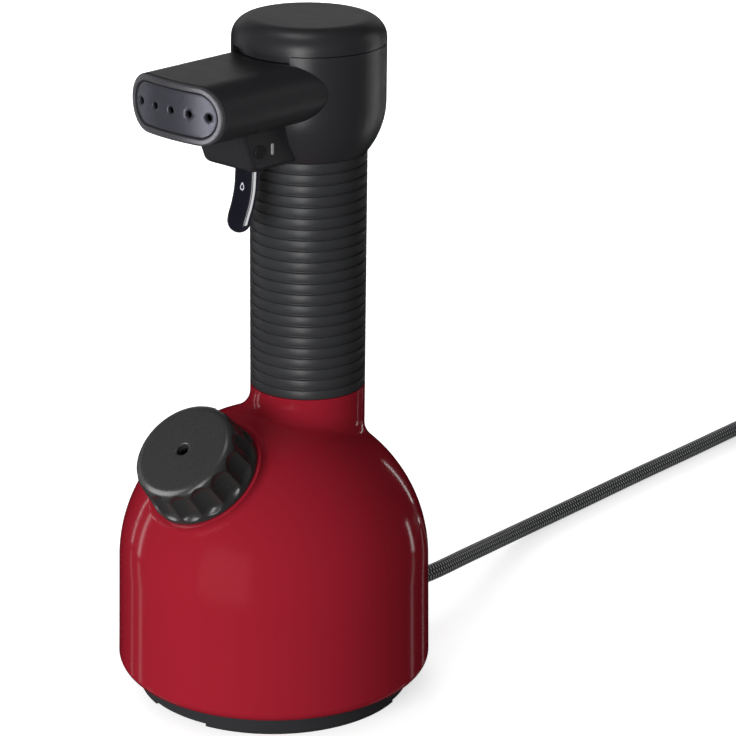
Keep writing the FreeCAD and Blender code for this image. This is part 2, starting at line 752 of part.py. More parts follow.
def make_filler_cap():
    """The fluted knob, its threaded plug, the seal under it and the relief valve in its hole."""
    knob = turned("knob_form", [
        (0, s.cap_base),
        (s.cap_base_radius, s.cap_base),
        (s.cap_top_radius, s.cap_top - 2.6),
        (s.cap_top_radius - 2.6, s.cap_top, 2.6, 1),
        (0, s.cap_top),
    ], (0, 0, s.dome_centre), "cap")
    hollow = turned("knob_hollow", [
        (18.2, s.cap_base - 1),
        (22.0, s.cap_base - 1),
        (21.2, s.cap_base + 14),
        (18.2, s.cap_base + 14),
    ], (0, 0, s.dome_centre), "cap")
    well = cylinder("knob_well", 16.6, 12, on_cap_axis(s.cap_base - 1), "cap")
    vent = cylinder("knob_vent", 2.8, 30, on_cap_axis(s.cap_base), "cap")
    flutes = []
    count = int(s.flute_count.number)
    centre = Vector(0, 0, s.dome_centre.number)
    for index in range(count):
        flute = cylinder("flute%d" % index, s.flute_radius, 14.4, (0, 0, 0), "cap")
        angle = 10.5 + 360.0 * index / count
        local = Vector(*around(s.flute_centre, angle, s.cap_base.number + 1.8))
        flute.Placement = Placement(centre + ALONG["cap"].multVec(local), ALONG["cap"])
        flutes.append(flute)
    node("filler_cap", cut("filler_cap", knob, hollow, well, vent, *flutes))
    stem = cylinder("plug_stem", s.filler_bore - 0.35, 14.5, on_cap_axis(60), "cap")
    flange = cylinder("plug_flange", 16.0, 3.4, on_cap_axis(74.45), "cap")
    bore = cylinder("plug_bore", 2.8, 30, on_cap_axis(66), "cap")
    node("cap_plug", cut("cap_plug", fuse("plug_whole", stem, flange), bore))
    for label, low, high in (("cap_gasket", 72.05, 73.55), ("cap_washer", 73.6, 74.4)):
        disc = cylinder(label + "_disc", 15.6, high - low, on_cap_axis(low), "cap")
        hole = cylinder(label + "_hole", s.filler_bore + 0.05, 6, on_cap_axis(low - 2), "cap")
        node(label, cut(label, disc, hole))
    valve = cylinder("relief_body", 2.7, 14, on_cap_axis(70.0), "cap")
    socket = doc.addObject("Part::Prism", "relief_socket")
    socket.Polygon = 6
    socket.Circumradius = 1.6
    socket.Height = 3
    place(socket, on_cap_axis(82.5), ALONG["cap"])
    node("relief_valve", cut("relief_valve", valve, socket))


# ---------------------------------------------------------------- grip

def make_grip():
    """The inner tube of the handle and the ribbed rubber sleeve over it."""
    at_handle = (0, s.handle_offset, 0)
    tube = turned("core_form", [
        (s.core_inner, 113.0),
        (s.core_outer, 113.0),
        (s.core_outer, 262.0),
        (s.core_inner, 262.0),
    ], at_handle)
    node("handle_core", cut("handle_core", tube, *head_screw_bars("core_hole", 1.6, 14, 30)))
    sleeve = new_body("grip_form")
    profile = new_sketch(sleeve, "XZ_Plane", "grip_profile")
    outline(profile, [
        (s.core_outer + 0.15, s.grip_bottom),
        (s.grip_radius, s.grip_bottom),
        (s.grip_radius, s.grip_top),
        (s.core_outer + 0.15, s.grip_top),
    ])
    spin = sleeve.newObject("PartDesign::Revolution", "grip_spin")
    spin.Profile = profile
    spin.ReferenceAxis = (profile, ["V_Axis"])
    spin.Angle = 360
    pitch = (s.grip_top - s.grip_bottom) / s.band_count
    notch = new_sketch(sleeve, "XZ_Plane", "notch_profile")
    low = s.grip_bottom + pitch - s.groove_width / 2
    outline(notch, [
        (s.grip_radius - s.groove_depth, low),
        (s.grip_radius + 1, low),
        (s.grip_radius + 1, low + s.groove_width),
        (s.grip_radius - s.groove_depth, low + s.groove_width),
    ])
    groove = sleeve.newObject("PartDesign::Groove", "notch_cut")
    groove.Profile = notch
    groove.ReferenceAxis = (notch, ["V_Axis"])
    groove.Angle = 360
    repeat = sleeve.newObject("PartDesign::LinearPattern", "notch_rows")
    repeat.Originals = [groove]
    repeat.Direction = (profile, ["V_Axis"])
    rows = s.band_count - 2
    repeat.Length = number_of(pitch * rows)
    bind(repeat, "Length", pitch * rows)
    repeat.Occurrences = int(s.band_count.number) - 1
    sleeve.Tip = repeat
    place(sleeve, at_handle)
    node("grip_sleeve", sleeve)


# ---------------------------------------------------------------- head

HEAD_SCREW_ANGLES = (90, 210, 330)
HEAD_SCREW_LEVEL = 253.0


def head_screw_bars(name, radius, start, end):
    """Radial bars at the three head screws, from one distance off the handle axis to another."""
    bars = []
    for index, angle in enumerate(HEAD_SCREW_ANGLES):
        bar = cylinder("%s%d" % (name, index), radius, end - start, (0, 0, 0))
        turn = Rotation(Vector(0, 0, 1), angle) * ALONG["x"]
        out = turn.multVec(Vector(0, 0, start))
        place_of_bar = Vector(out.x, out.y + s.handle_offset.number, HEAD_SCREW_LEVEL)
        bar.Placement = Placement(place_of_bar, turn)
        bars.append(bar)
    return bars


def bowl_outline(gap):
    """The outside of the head below its cover, enlarged by a gap, as (radius, level) corners."""
    return [
        (0, s.head_bottom - gap),
        (s.grip_radius + gap, s.head_bottom - gap),
        (s.head_radius + gap, s.bowl_level, s.bowl_radius + gap, 1),
        (s.head_radius + gap, s.cap_seam + 8),
        (0, s.cap_seam + 8),
    ]


def make_head():
    """The bowl-bottomed head housing, its top cover and the screws into the handle core."""
    at_handle = (0, s.handle_offset, 0)
    wall = s.head_wall
    collar = s.core_outer + 2.6
    bowl = turned("bowl_form", [
        (s.core_outer + 0.15, s.head_bottom),
        (s.grip_radius, s.head_bottom),
        (s.head_radius, s.bowl_level, s.bowl_radius, 1),
        (s.head_radius, s.cap_seam),
        (s.head_radius - wall, s.cap_seam),
        (s.head_radius - wall, s.bowl_level),
        (collar, s.head_bottom + 2.7, s.bowl_radius - wall, -1),
        (collar, s.head_bottom + 12),
        (s.core_outer + 0.15, s.head_bottom + 12),
    ], at_handle)
    window_width = s.nozzle_rear_half - 4.2
    window_height = s.nozzle_height_half - 2.6
    window = oval_bar("window_bar", (-30, window_width, window_height),
                      (4, window_width, window_height))
    nozzle_roof = s.nozzle_level + s.nozzle_height_half
    slot = box("top_slot", (33.6, 14, 6), (-16.8, -13.5, nozzle_roof + 0.1))
    valve_way = cylinder("valve_way", 4.4, 10, (0, s.valve_y, 258))
    holes = head_screw_bars("collar_hole", 1.6, 14, 26)
    node("head_housing", cut("head_housing", bowl, window, slot, valve_way, *holes))
    shanks = head_screw_bars("head_shank", 1.5, 18.8, 24.9)
    heads = head_screw_bars("head_head", 2.7, 24.75, 26.6)
    pairs = [fuse("head_screw%d" % i, shank, head)
             for i, (shank, head) in enumerate(zip(shanks, heads))]
    node("head_screws", group("head_screws", *pairs))
    spigot = s.head_radius - wall - 0.25
    inside = spigot - 1.6
    low = s.cap_seam + 0.4
    node("head_cover", turned("head_cover", [
        (0, s.head_top - wall),
        (inside - 4, s.head_top - wall),
        (inside, s.head_top - wall - 4, 4, -1),
        (inside, s.cap_seam - 3),
        (spigot, s.cap_seam - 3),
        (spigot, low),
        (s.head_radius, low),
        (s.head_radius, s.head_top - s.head_round),
        (s.head_radius - s.head_round, s.head_top, s.head_round, 1),
        (0, s.head_top),
    ], at_handle))


# ---------------------------------------------------------------- nozzle

def face_cylinder(name, depth):
    """The upright cylinder that rounds the nozzle's face, set back by depth."""
    return cylinder(name, s.face_radius - depth, 60, (0, s.face_radius - s.face_front, 250))


def straight_oval(name, start, end, half_width, half_height):
    """An oval bar of one section from one place along Y to another."""
    return oval_bar(name, (start, half_width, half_height), (end, half_width, half_height))


def curved_slice(name, block, front, back):
    """The part of a block between two depths behind the nozzle's rounded face."""
    trimmed = common(name + "_front", block, face_cylinder(name + "_near", front))
    return cut(name + "_slice", trimmed, face_cylinder(name + "_far", back))


def make_nozzle():
    """The black nozzle shell, its metal rim, the curved steam plate and the steam manifold."""
    half = s.nozzle_half
    tall = s.nozzle_height_half
    wall = s.nozzle_wall
    rear = s.nozzle_rear_half
    front_end = -62.0
    shell_end = 6.0
    whole = ((front_end, half, tall), (shell_end, rear, tall))
    shell = common("nozzle_trimmed", oval_bar("nozzle_form", *whole),
                   face_cylinder("shell_face", s.rim_depth + 0.05))
    hollow = oval_bar("nozzle_hollow", (front_end - 1, half - wall, tall - wall),
                      (shell_end + 1, rear - wall, tall - wall))
    bowl = turned("nozzle_bowl", bowl_outline(0.1), (0, s.handle_offset, 0))
    boss_way = cylinder("boss_way", 4.4, 10, (0, s.valve_y, 258))
    node("nozzle_shell", cut("nozzle_shell", shell, hollow, bowl, boss_way))
    make_rim_and_plate(oval_bar("rim_form", *whole), front_end)
    outer = oval_bar("manifold_form", (-54, 22.4, 7.3), (-24.4, 8, 6.4))
    inner = oval_bar("manifold_hollow", (-54.5, 21.2, 6.1), (-26, 6.8, 5.2))
    outlet = cylinder("manifold_inlet", 2.5, 6, (0, -28, s.nozzle_level), "y")
    node("steam_manifold", cut("steam_manifold", outer, inner, outlet))


def make_rim_and_plate(rim_form, front_end):
    """The metal rim with its spigot in the shell, and the holed plate in the rim's recess."""
    half = s.nozzle_half
    tall = s.nozzle_height_half
    inset = s.nozzle_wall + 0.15
    width = s.rim_width
    lip = width + 1.5
    gap = width + 0.35
    block_end = -50
    flange = curved_slice("flange", rim_form, 0, s.rim_depth)
    spigot_form = straight_oval("spigot_form", front_end, block_end, half - inset, tall - inset)
    spigot = curved_slice("spigot", spigot_form, s.rim_depth - 0.2, 7.0)
    pocket_form = straight_oval("pocket_form", front_end - 1, block_end, half - width, tall - width)
    pocket = cut("rim_pocket", pocket_form, face_cylinder("pocket_floor", 2.4))
    through = straight_oval("rim_through", front_end - 1, -45, half - lip, tall - lip)
    node("nozzle_rim", cut("nozzle_rim", fuse("rim_whole", flange, spigot), pocket, through))
    plate_form = straight_oval("plate_form", front_end - 1, block_end, half - gap, tall - gap)
    plate = curved_slice("plate", plate_form, 0.7, 2.3)
    holes = []
    for index in range(5):
        x = s.hole_pitch * (index - 2)
        hole = cylinder("steam_hole%d" % index, s.hole_radius, 20, (x, -65, s.nozzle_level), "y")
        holes.append(hole)
    node("steam_plate", cut("steam_plate", plate, *holes))


# ---------------------------------------------------------------- valve and trigger

def make_valve():
    """The brass steam valve in the head: body, sliding stem and return spring."""
    y = s.valve_y
    level = s.nozzle_level
    barrel = cylinder("valve_barrel", 8.0, 28, (0, -24, level), "y")
    boss = cylinder("valve_boss", 3.9, 12, (0, y, 262.6))
    chamber = cylinder("valve_chamber", 3.5, 12.4, (0, y, 269))
    stem_bore = cylinder("valve_stem_bore", 1.56, 10, (0, y, 261))
    inlet = cylinder("valve_inlet", s.steam_radius + 0.05, 6.2, (0, -2, level), "y")
    passage = cylinder("valve_passage", 2.0, 16, (0, y, level), "y")
    outlet = cylinder("valve_outlet", 2.5, 12, (0, -26, level), "y")
    node("valve_body", cut("valve_body", fuse("valve_whole", barrel, boss), chamber, stem_bore,
                           inlet, passage, outlet))
    stem = cylinder("stem_rod", 1.5, 15.8, (0, y, 258.2))
    collar = cylinder("stem_collar", 3.1, 1.85, (0, y, 269.15))
    node("valve_stem", fuse("valve_stem", stem, collar))
    coil_spring("valve_spring", 2.5, 0.4, 5, (0, y, 271.1), 10.2)


def case_nose(shape):
    """The lower front edge of the trigger housing, across its width."""
    return [name for name, point in edge_middles(shape)
            if abs(point.x) < 0.01 and abs(point.z - s.housing_bottom.number) < 0.01
            and point.y < -20]


def case_sides(shape):
    """The edges round both sides of the trigger housing, from its roof to its rear."""
    roof = s.nozzle_level.number - s.nozzle_height_half.number - 0.1
    return [name for name, point in edge_middles(shape)
            if abs(abs(point.x) - s.housing_half.number) < 0.01
            and point.z < roof - 0.1 and point.y < -0.1]


def make_trigger():
    """The trigger, its housing under the nozzle, the pivot pin and the return spring."""
    half = s.housing_half
    floor = s.housing_bottom
    roof = s.nozzle_level - s.nozzle_height_half - 0.1
    outer = extruded_side("case_form", [
        (-35.3, roof),
        (-27.9, floor),
        (0, floor),
        (0, roof),
    ], half)
    round_edges(outer, "case_nose", case_nose, 5.0)
    round_edges(outer, "case_sides", case_sides, 3.2)
    inner = extruded_side("case_hollow", [
        (-32.8, roof + 1),
        (-27.6, floor + 4.9),
        (-25.2, floor + 2, 2.6, 1),
        (1, floor + 2),
        (1, roof + 1),
    ], half - 2.0)
    bowl = turned("case_bowl", bowl_outline(0.15), (0, s.handle_offset, 0))
    slot = box("case_slot", (13.8, 11.6, 4), (-6.9, -22.4, floor - 1))
    pin_way = cylinder("case_pin_way", s.pin_radius + 0.03, 40, (-20, s.pivot_y, s.pivot_z), "x")
    node("trigger_housing", cut("trigger_housing", outer, inner, bowl, slot, pin_way))
    side = extruded_side("lever_side", [
        (-21.6, 254.3),
        (-18.8, 244.5),
        (-19.5, 234.0),
        (-23.4, 222.6, 30.0, -1),
        (-24.4, 218.6),
        (-21.6, 215.8, 3.2, 1),
        (-18.9, 218.6, 3.2, 1),
        (-18.4, 222.8),
        (-14.9, 234.2, 30.0, 1),
        (-13.7, 244.5),
        (-13.4, 256.0),
        (-21.6, 256.0),
    ], s.trigger_half)
    front = new_body("lever_front")
    front_profile = new_sketch(front, "XZ_Plane", "lever_front_profile", 5)
    width = s.trigger_half
    outline(front_profile, [
        (width, 258.0),
        (-width, 258.0),
        (-width, 221.9),
        (width, 221.9, width + 0.1, 1),
    ])
    pad(front, front_profile, 30, "lever_front_pad")
    hub = cylinder("trigger_hub", 3.5, 12.4, (-6.2, s.pivot_y, s.pivot_z), "x")
    arm = box("trigger_arm", (10, 11.0, 3.2), (-5, s.pivot_y, s.pivot_z + 0.5))
    bore = cylinder("trigger_bore", s.pin_radius + 0.05, 20, (-10, s.pivot_y, s.pivot_z), "x")
    lever = common("lever", side, front)
    node("trigger", cut("trigger", fuse("trigger_whole", lever, hub, arm), bore))
    pin = cylinder("pin_shaft", s.pin_radius, 30.0, (-15.0, s.pivot_y, s.pivot_z), "x")
    caps = [cylinder("pin_head%d" % i, 2.8, 0.5, (x, s.pivot_y, s.pivot_z), "x")
            for i, x in enumerate((-15.45, 14.95))]
    node("trigger_pin", fuse("trigger_pin", pin, *caps))
    coil_spring("trigger_spring", 1.5, 0.3, 4, (0, -21.0, 258.1), 5.5)


# ---------------------------------------------------------------- mains cord and plug

CORD_ROUTE = [
    (0.0, 98.0, 16.0),
    (-0.8, 114.0, 15.2),
    (-6.0, 140.0, 12.3),
    (-13.0, 170.0, 8.1),
    (-19.0, 205.0, 4.7),
    (-21.5, 250.0, 3.95),
    (-23.3, 300.0, 3.95),
    (-24.6, 350.0, 3.95),
    (-26.1, 397.0, 3.95),
    (-26.5, 440.0, 3.95),
]
TAIL_ROUTE = [
    (70.3, 440.0, 27.35),
    (70.3, 426.0, 26.3),
    (70.3, 407.0, 20.6),
    (70.3, 392.0, 19.0),
]
PLUG_LEVEL = 19.0


def make_cord():
    """The strain relief, the free cord to its stored coil, and the tail to the plug."""
    level = s.exit_level
    flange_in = cylinder("gland_inside", 7.2, 3.0, (0, 63.6, level), "y")
    neck = cylinder("gland_neck", 5.7, 6.0, (0, 66.0, level), "y")
    flange_out = cylinder("gland_outside", 7.6, 2.3, (0, 70.9, level), "y")
    taper = cone("gland_taper", 6.4, 4.7, s.relief_end - 73.0, (0, 73.0, level), "y")
    bore = cylinder("gland_bore", s.cord_diameter / 2 + 0.05, 50, (0, 60, level), "y")
    gland = fuse("gland_whole", flange_in, neck, flange_out, taper)
    node("cord_relief", cut("cord_relief", gland, bore))
    radius = s.cord_diameter.number / 2
    for label, route in (("cord_tube", CORD_ROUTE), ("cord_tail", TAIL_ROUTE)):
        shape, length, radii = bent_tube(route, radius)
        ratio = shape.Volume / (math.pi * radius * radius * length)
        print("%s: %.0f mm long, volume ratio %.4f, bend radii %s" % (label, length, ratio, radii))
        shape_node(label, shape)
    inside = s.coil_middle - s.cord_diameter
    outside = s.coil_middle + s.cord_diameter
    low = 0.05
    high = s.cord_diameter * 4 + low
    soft = s.cord_diameter / 2
    node("cord_coil", turned("cord_coil", [
        (inside + soft, low, soft, 1),
        (outside - soft, low),
        (outside, soft + low, soft, 1),
        (outside, high - soft),
        (outside - soft, high, soft, 1),
        (inside + soft, high),
        (inside, high - soft, soft, 1),
        (inside, soft + low),
    ], (s.coil_x, s.coil_y, 0)))


def make_plug():
    """A two-pin earthed mains plug lying on its side beside the coil."""
    x = TAIL_ROUTE[-1][0]
    start = (x, s.plug_start, PLUG_LEVEL)
    grip_start = 20.05
    length = 52
    radius = 18.9
    sleeve = turned("plug_relief_form", [(0, 0), (4.9, 0), (6.8, 20), (0, 20)], start, "-y")
    node("plug_relief", sleeve)
    body = turned("plug_form", [
        (0, grip_start),
        (9.5, grip_start),
        (12.0, 24),
        (12.0, 32),
        (radius, 41, 14.0, -1),
        (radius, length),
        (0, length),
    ], start, "-y")
    face = s.plug_start - length
    slots = [box("plug_slot%d" % i, (6.4, 12, 3.4), (x - 3.2, face - 0.1, PLUG_LEVEL + z))
             for i, z in enumerate((16.2, -19.6))]
    node("plug_body", cut("plug_body", body, *slots))
    clips = [box("earth_clip%d" % i, (5.6, 11.5, 0.8), (x - 2.8, face, PLUG_LEVEL + z))
             for i, z in enumerate((16.3, -17.1))]
    node("plug_earth_clips", group("plug_earth_clips", *clips))
    pin_radius = 2.4
    pin_start = length + 0.05
    pin_end = length + 19
    pins = []
    for index, offset in enumerate((-9.5, 9.5)):
        pins.append(turned("plug_pin%d" % index, [
            (0, pin_start),
            (pin_radius, pin_start),
            (pin_radius, pin_end - 1.6),
            (pin_radius - 1.6, pin_end, 1.6, 1),
            (0, pin_end),
        ], (x + offset, s.plug_start, PLUG_LEVEL), "-y"))
    node("plug_pins", group("plug_pins", *pins))


def check_document():
    """Stop if any object failed to compute or any sub-part is empty or invalid."""
    doc.recompute()
    failed = [item.Name for item in doc.Objects
              if "Invalid" in item.State or "Error" in item.State]
    if failed:
        raise SystemExit("failed objects: %s" % failed)
    for label, made in NODES.items():
        if made.Shape.isNull() or not made.Shape.isValid() or not made.Shape.Solids:
            raise SystemExit("bad shape: %s" % label)


def write_parts():
    """Write each sub-part to its own STEP file."""
    os.makedirs("parts", exist_ok=True)
    for label, made in NODES.items():
        made.Shape.exportStep(os.path.join("parts", label + ".step"))
        solids = len(made.Shape.Solids)
        print("%-18s %d solid(s) %9.0f mm3" % (label, solids, made.Shape.Volume))


STEPS = (
    make_body_shell, make_base, make_boiler, make_outlet, make_heater, make_board, make_leads,
    make_cord_clamp, make_filler_cap, make_grip, make_head, make_nozzle, make_valve, make_trigger,
    make_cord, make_plug,
)
for make in STEPS:
    make()
check_document()
write_parts()
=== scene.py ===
"""Looks of the garment steamer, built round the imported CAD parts. Lengths in metres."""

import json
import math

import bmesh
import bpy
import numpy as np
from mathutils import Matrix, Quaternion, Vector
from mathutils.geometry import delaunay_2d_cdt


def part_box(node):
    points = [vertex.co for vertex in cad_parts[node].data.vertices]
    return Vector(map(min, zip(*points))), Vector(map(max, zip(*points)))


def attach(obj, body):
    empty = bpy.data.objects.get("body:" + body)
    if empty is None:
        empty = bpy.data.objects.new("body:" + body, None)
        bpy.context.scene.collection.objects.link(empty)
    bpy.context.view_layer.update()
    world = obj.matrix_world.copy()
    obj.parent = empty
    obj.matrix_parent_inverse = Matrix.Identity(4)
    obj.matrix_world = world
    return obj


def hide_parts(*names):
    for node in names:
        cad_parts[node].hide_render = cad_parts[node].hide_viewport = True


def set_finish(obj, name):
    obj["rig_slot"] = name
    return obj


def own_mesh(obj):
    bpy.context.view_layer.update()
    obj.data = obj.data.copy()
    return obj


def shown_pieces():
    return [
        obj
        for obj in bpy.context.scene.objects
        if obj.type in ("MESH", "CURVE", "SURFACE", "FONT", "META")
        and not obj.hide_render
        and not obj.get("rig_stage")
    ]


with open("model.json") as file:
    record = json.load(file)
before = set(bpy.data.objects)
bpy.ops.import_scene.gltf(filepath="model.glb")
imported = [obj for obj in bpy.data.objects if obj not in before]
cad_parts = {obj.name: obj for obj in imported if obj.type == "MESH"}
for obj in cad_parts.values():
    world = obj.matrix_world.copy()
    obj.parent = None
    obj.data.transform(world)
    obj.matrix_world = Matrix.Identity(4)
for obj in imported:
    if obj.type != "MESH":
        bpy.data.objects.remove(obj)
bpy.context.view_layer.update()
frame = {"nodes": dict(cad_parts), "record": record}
NODES = frame["nodes"]
SCENE = bpy.context.scene
MM = 0.001

# Directions, sizes and places that several functions share.
CAMERA_AZIMUTH = math.radians(44.525)
CORD_RADIUS = 3.9 * MM
COIL_CENTRE = Vector((21.9, 440.0, 0.0)) * MM
COIL_INNER, COIL_OUTER = 40.6 * MM, 48.4 * MM
COIL_LAYERS = (3.95 * MM, 11.75 * MM, 19.55 * MM, 27.35 * MM)
CAP_TILT = math.radians(40.2)
CAP_AXIS = Vector((0, -math.sin(CAP_TILT), math.cos(CAP_TILT)))
CAP_ORIGIN = Vector((0, 0, 59.4)) * MM
# The nozzle's face is a stretch of an upright cylinder of this radius, in millimetres.
FACE_RADIUS = 90.0
# Inner pieces near the cap's hole and the steam holes, given a near-black material as painted shade so
# that the holes read as dark hollows.
PAINTED_SHADE_INSIDE = ("relief_valve", "steam_manifold", "valve_body")


# ---------------------------------------------------------------- camera

def make_camera():
    """The photograph's place and angle; the turn to the right keeps the object left of centre."""
    pitch = math.radians(19.804)
    turn_right = math.radians(1.917)
    back = Vector((math.sin(CAMERA_AZIMUTH) * math.cos(pitch),
                   -math.cos(CAMERA_AZIMUTH) * math.cos(pitch), math.sin(pitch)))
    facing = (-back).to_track_quat("-Z", "Y")
    up = facing @ Vector((0, 1, 0))
    data = bpy.data.cameras.new("camera")
    data.sensor_width = 36.0
    data.lens = 137.15
    data.clip_start = 0.05
    data.clip_end = 50.0
    camera = bpy.data.objects.new("camera", data)
    SCENE.collection.objects.link(camera)
    camera.rotation_mode = "QUATERNION"
    camera.location = (0.81548, -0.82911, 0.56728)
    camera.rotation_quaternion = Quaternion(up, -turn_right) @ facing
    SCENE.camera = camera


# ---------------------------------------------------------------- materials

class Shader:
    """A Principled material and short ways to add nodes to it."""

    def __init__(self, name, colour, roughness, metallic=0.0, specular=0.5):
        self.material = bpy.data.materials.new(name)
        self.material.use_nodes = True
        self.tree = self.material.node_tree
        self.main = next(n for n in self.tree.nodes if n.type == "BSDF_PRINCIPLED")
        self.main.inputs["Base Color"].default_value = (*colour, 1.0)
        self.main.inputs["Roughness"].default_value = roughness
        self.main.inputs["Metallic"].default_value = metallic
        self.main.inputs["Specular IOR Level"].default_value = specular
        self.colour = colour
        self.roughness = roughness
        self.place = self.add("ShaderNodeTexCoord").outputs["Object"]

    def add(self, kind, **values):
        node = self.tree.nodes.new(kind)
        for key, value in values.items():
            setattr(node, key, value)
        return node

    def link(self, start, end):
        self.tree.links.new(start, end)

    def noise(self, scale, detail=2.0):
        node = self.add("ShaderNodeTexNoise")
        node.inputs["Scale"].default_value = scale
        node.inputs["Detail"].default_value = detail
        self.link(self.place, node.inputs["Vector"])
        return node.outputs["Fac"]

    def spread(self, value, low, high):
        """The value 0..1 mapped to low..high."""
        node = self.add("ShaderNodeMapRange")
        node.inputs["To Min"].default_value = low
        node.inputs["To Max"].default_value = high
        self.link(value, node.inputs["Value"])
        return node.outputs["Result"]

    def vary_colour(self, value, amount):
        """Lighter and darker by the share amount, following value."""
        node = self.add("ShaderNodeMix", data_type="RGBA")
        for name, factor in (("A", 1 - amount), ("B", 1 + amount)):
            socket = next(s for s in node.inputs if s.name == name and s.type == "RGBA")
            socket.default_value = (*[c * factor for c in self.colour], 1.0)
        self.link(value, node.inputs[0])
        output = next(s for s in node.outputs if s.type == "RGBA")
        self.link(output, self.main.inputs["Base Color"])

    def vary_roughness(self, value, amount):
        low, high = self.roughness * (1 - amount), min(1.0, self.roughness * (1 + amount))
        self.link(self.spread(value, low, high), self.main.inputs["Roughness"])

    def bump(self, value, height, strength=1.0):
        node = self.add("ShaderNodeBump")
        node.inputs["Distance"].default_value = height
        node.inputs["Strength"].default_value = strength
        self.link(value, node.inputs["Height"])
        if self.main.inputs["Normal"].is_linked:
            before = self.main.inputs["Normal"].links[0].from_socket
            self.link(before, node.inputs["Normal"])
        self.link(node.outputs["Normal"], self.main.inputs["Normal"])


def moulded(name, colour, roughness, grain=900.0, depth=0.02 * MM, specular=0.5):
    """Moulded plastic: fine spark-eroded grain, a little unevenness in shade and polish."""
    shader = Shader(name, colour, roughness, specular=specular)
    shader.vary_colour(shader.noise(35.0), 0.06)
    shader.vary_roughness(shader.noise(120.0, 3.0), 0.12)
    shader.bump(shader.noise(grain, 3.0), depth)
    return shader.material


def red_gloss():
    """Deep red lacquered plastic with the faint long waves of a polished mould."""
    shader = Shader("red_gloss", (0.282, 0.0115, 0.0225), 0.12, specular=0.5)
    shader.vary_colour(shader.noise(14.0), 0.03)
    shader.vary_roughness(shader.noise(60.0, 4.0), 0.25)
    shader.bump(shader.noise(22.0, 1.0), 0.03 * MM)
    return shader.material


def rubber(name, colour, roughness):
    shader = Shader(name, colour, roughness, specular=0.45)
    shader.vary_colour(shader.noise(80.0, 4.0), 0.12)
    shader.vary_roughness(shader.noise(200.0), 0.1)
    shader.bump(shader.noise(1800.0, 2.0), 0.03 * MM)
    return shader.material


def metal(name, colour, roughness, stretch=(1.0, 1.0, 1.0), scale=400.0, metallic=1.0):
    """Metal with fine turning or rolling marks along the axis of least stretch."""
    shader = Shader(name, colour, roughness, metallic=metallic)
    mapping = shader.add("ShaderNodeMapping")
    mapping.inputs["Scale"].default_value = stretch
    shader.link(shader.place, mapping.inputs["Vector"])
    shader.place = mapping.outputs["Vector"]
    shader.vary_colour(shader.noise(scale / 10), 0.05)
    shader.vary_roughness(shader.noise(scale, 3.0), 0.25)
    shader.bump(shader.noise(scale * 2, 2.0), 0.0008 * MM)
    return shader.material


def braid():
    """Braided textile sleeve: strands run both ways round the cord, over and under each other, with
    light grey painted on the strand crests as a highlight.
    """
    shader = Shader("cord_braid", (0.012, 0.012, 0.013), 0.62, specular=0.35)
    coordinate = shader.add("ShaderNodeUVMap").outputs["UV"]
    parts = shader.add("ShaderNodeSeparateXYZ")
    shader.link(coordinate, parts.inputs["Vector"])

    def arithmetic(operation, first, second=None):
        node = shader.add("ShaderNodeMath", operation=operation)
        for socket, value in zip(node.inputs, (first, second)):
            if value is None:
                continue
            if isinstance(value, float):
                socket.default_value = value
            else:
                shader.link(value, socket)
        return node.outputs["Value"]

    strands, pitch = 6.0, 1.95 * MM
    around = arithmetic("MULTIPLY", parts.outputs["X"], strands)
    along = arithmetic("DIVIDE", parts.outputs["Y"], pitch)
    one = arithmetic("ADD", around, along)
    two = arithmetic("SUBTRACT", around, along)
    crests = [arithmetic("SINE", arithmetic("MULTIPLY", arithmetic("FRACT", way), math.pi))
              for way in (one, two)]
    cell = arithmetic("ADD", arithmetic("FLOOR", one), arithmetic("FLOOR", two))
    over = arithmetic("GREATER_THAN", arithmetic("FRACT", arithmetic("MULTIPLY", cell, 0.5)), 0.25)
    choice = shader.add("ShaderNodeMix", data_type="FLOAT")
    shader.link(over, choice.inputs[0])
    shader.link(crests[0], choice.inputs[2])
    shader.link(crests[1], choice.inputs[3])
    ends = arithmetic("POWER", arithmetic("MULTIPLY", crests[0], crests[1]), 0.35)
    height = arithmetic("MULTIPLY", choice.outputs[0], ends)
    # Painted highlight: the crests of the strands are coloured light grey where light would catch the
    # weave; the rest stays near black.
    colour = shader.add("ShaderNodeMix", data_type="RGBA")
    dark, light = [s for s in colour.inputs if s.type == "RGBA"]
    dark.default_value = (0.0015, 0.0015, 0.002, 1.0)
    light.default_value = (0.58, 0.6, 0.62, 1.0)
    shader.link(arithmetic("POWER", height, 3.6), colour.inputs[0])
    shader.link(next(s for s in colour.outputs if s.type == "RGBA"), shader.main.inputs["Base Color"])
    shader.bump(height, 0.35 * MM)
    shader.main.inputs["Sheen Weight"].default_value = 0.25
    shader.main.inputs["Sheen Roughness"].default_value = 0.4
    return shader.material


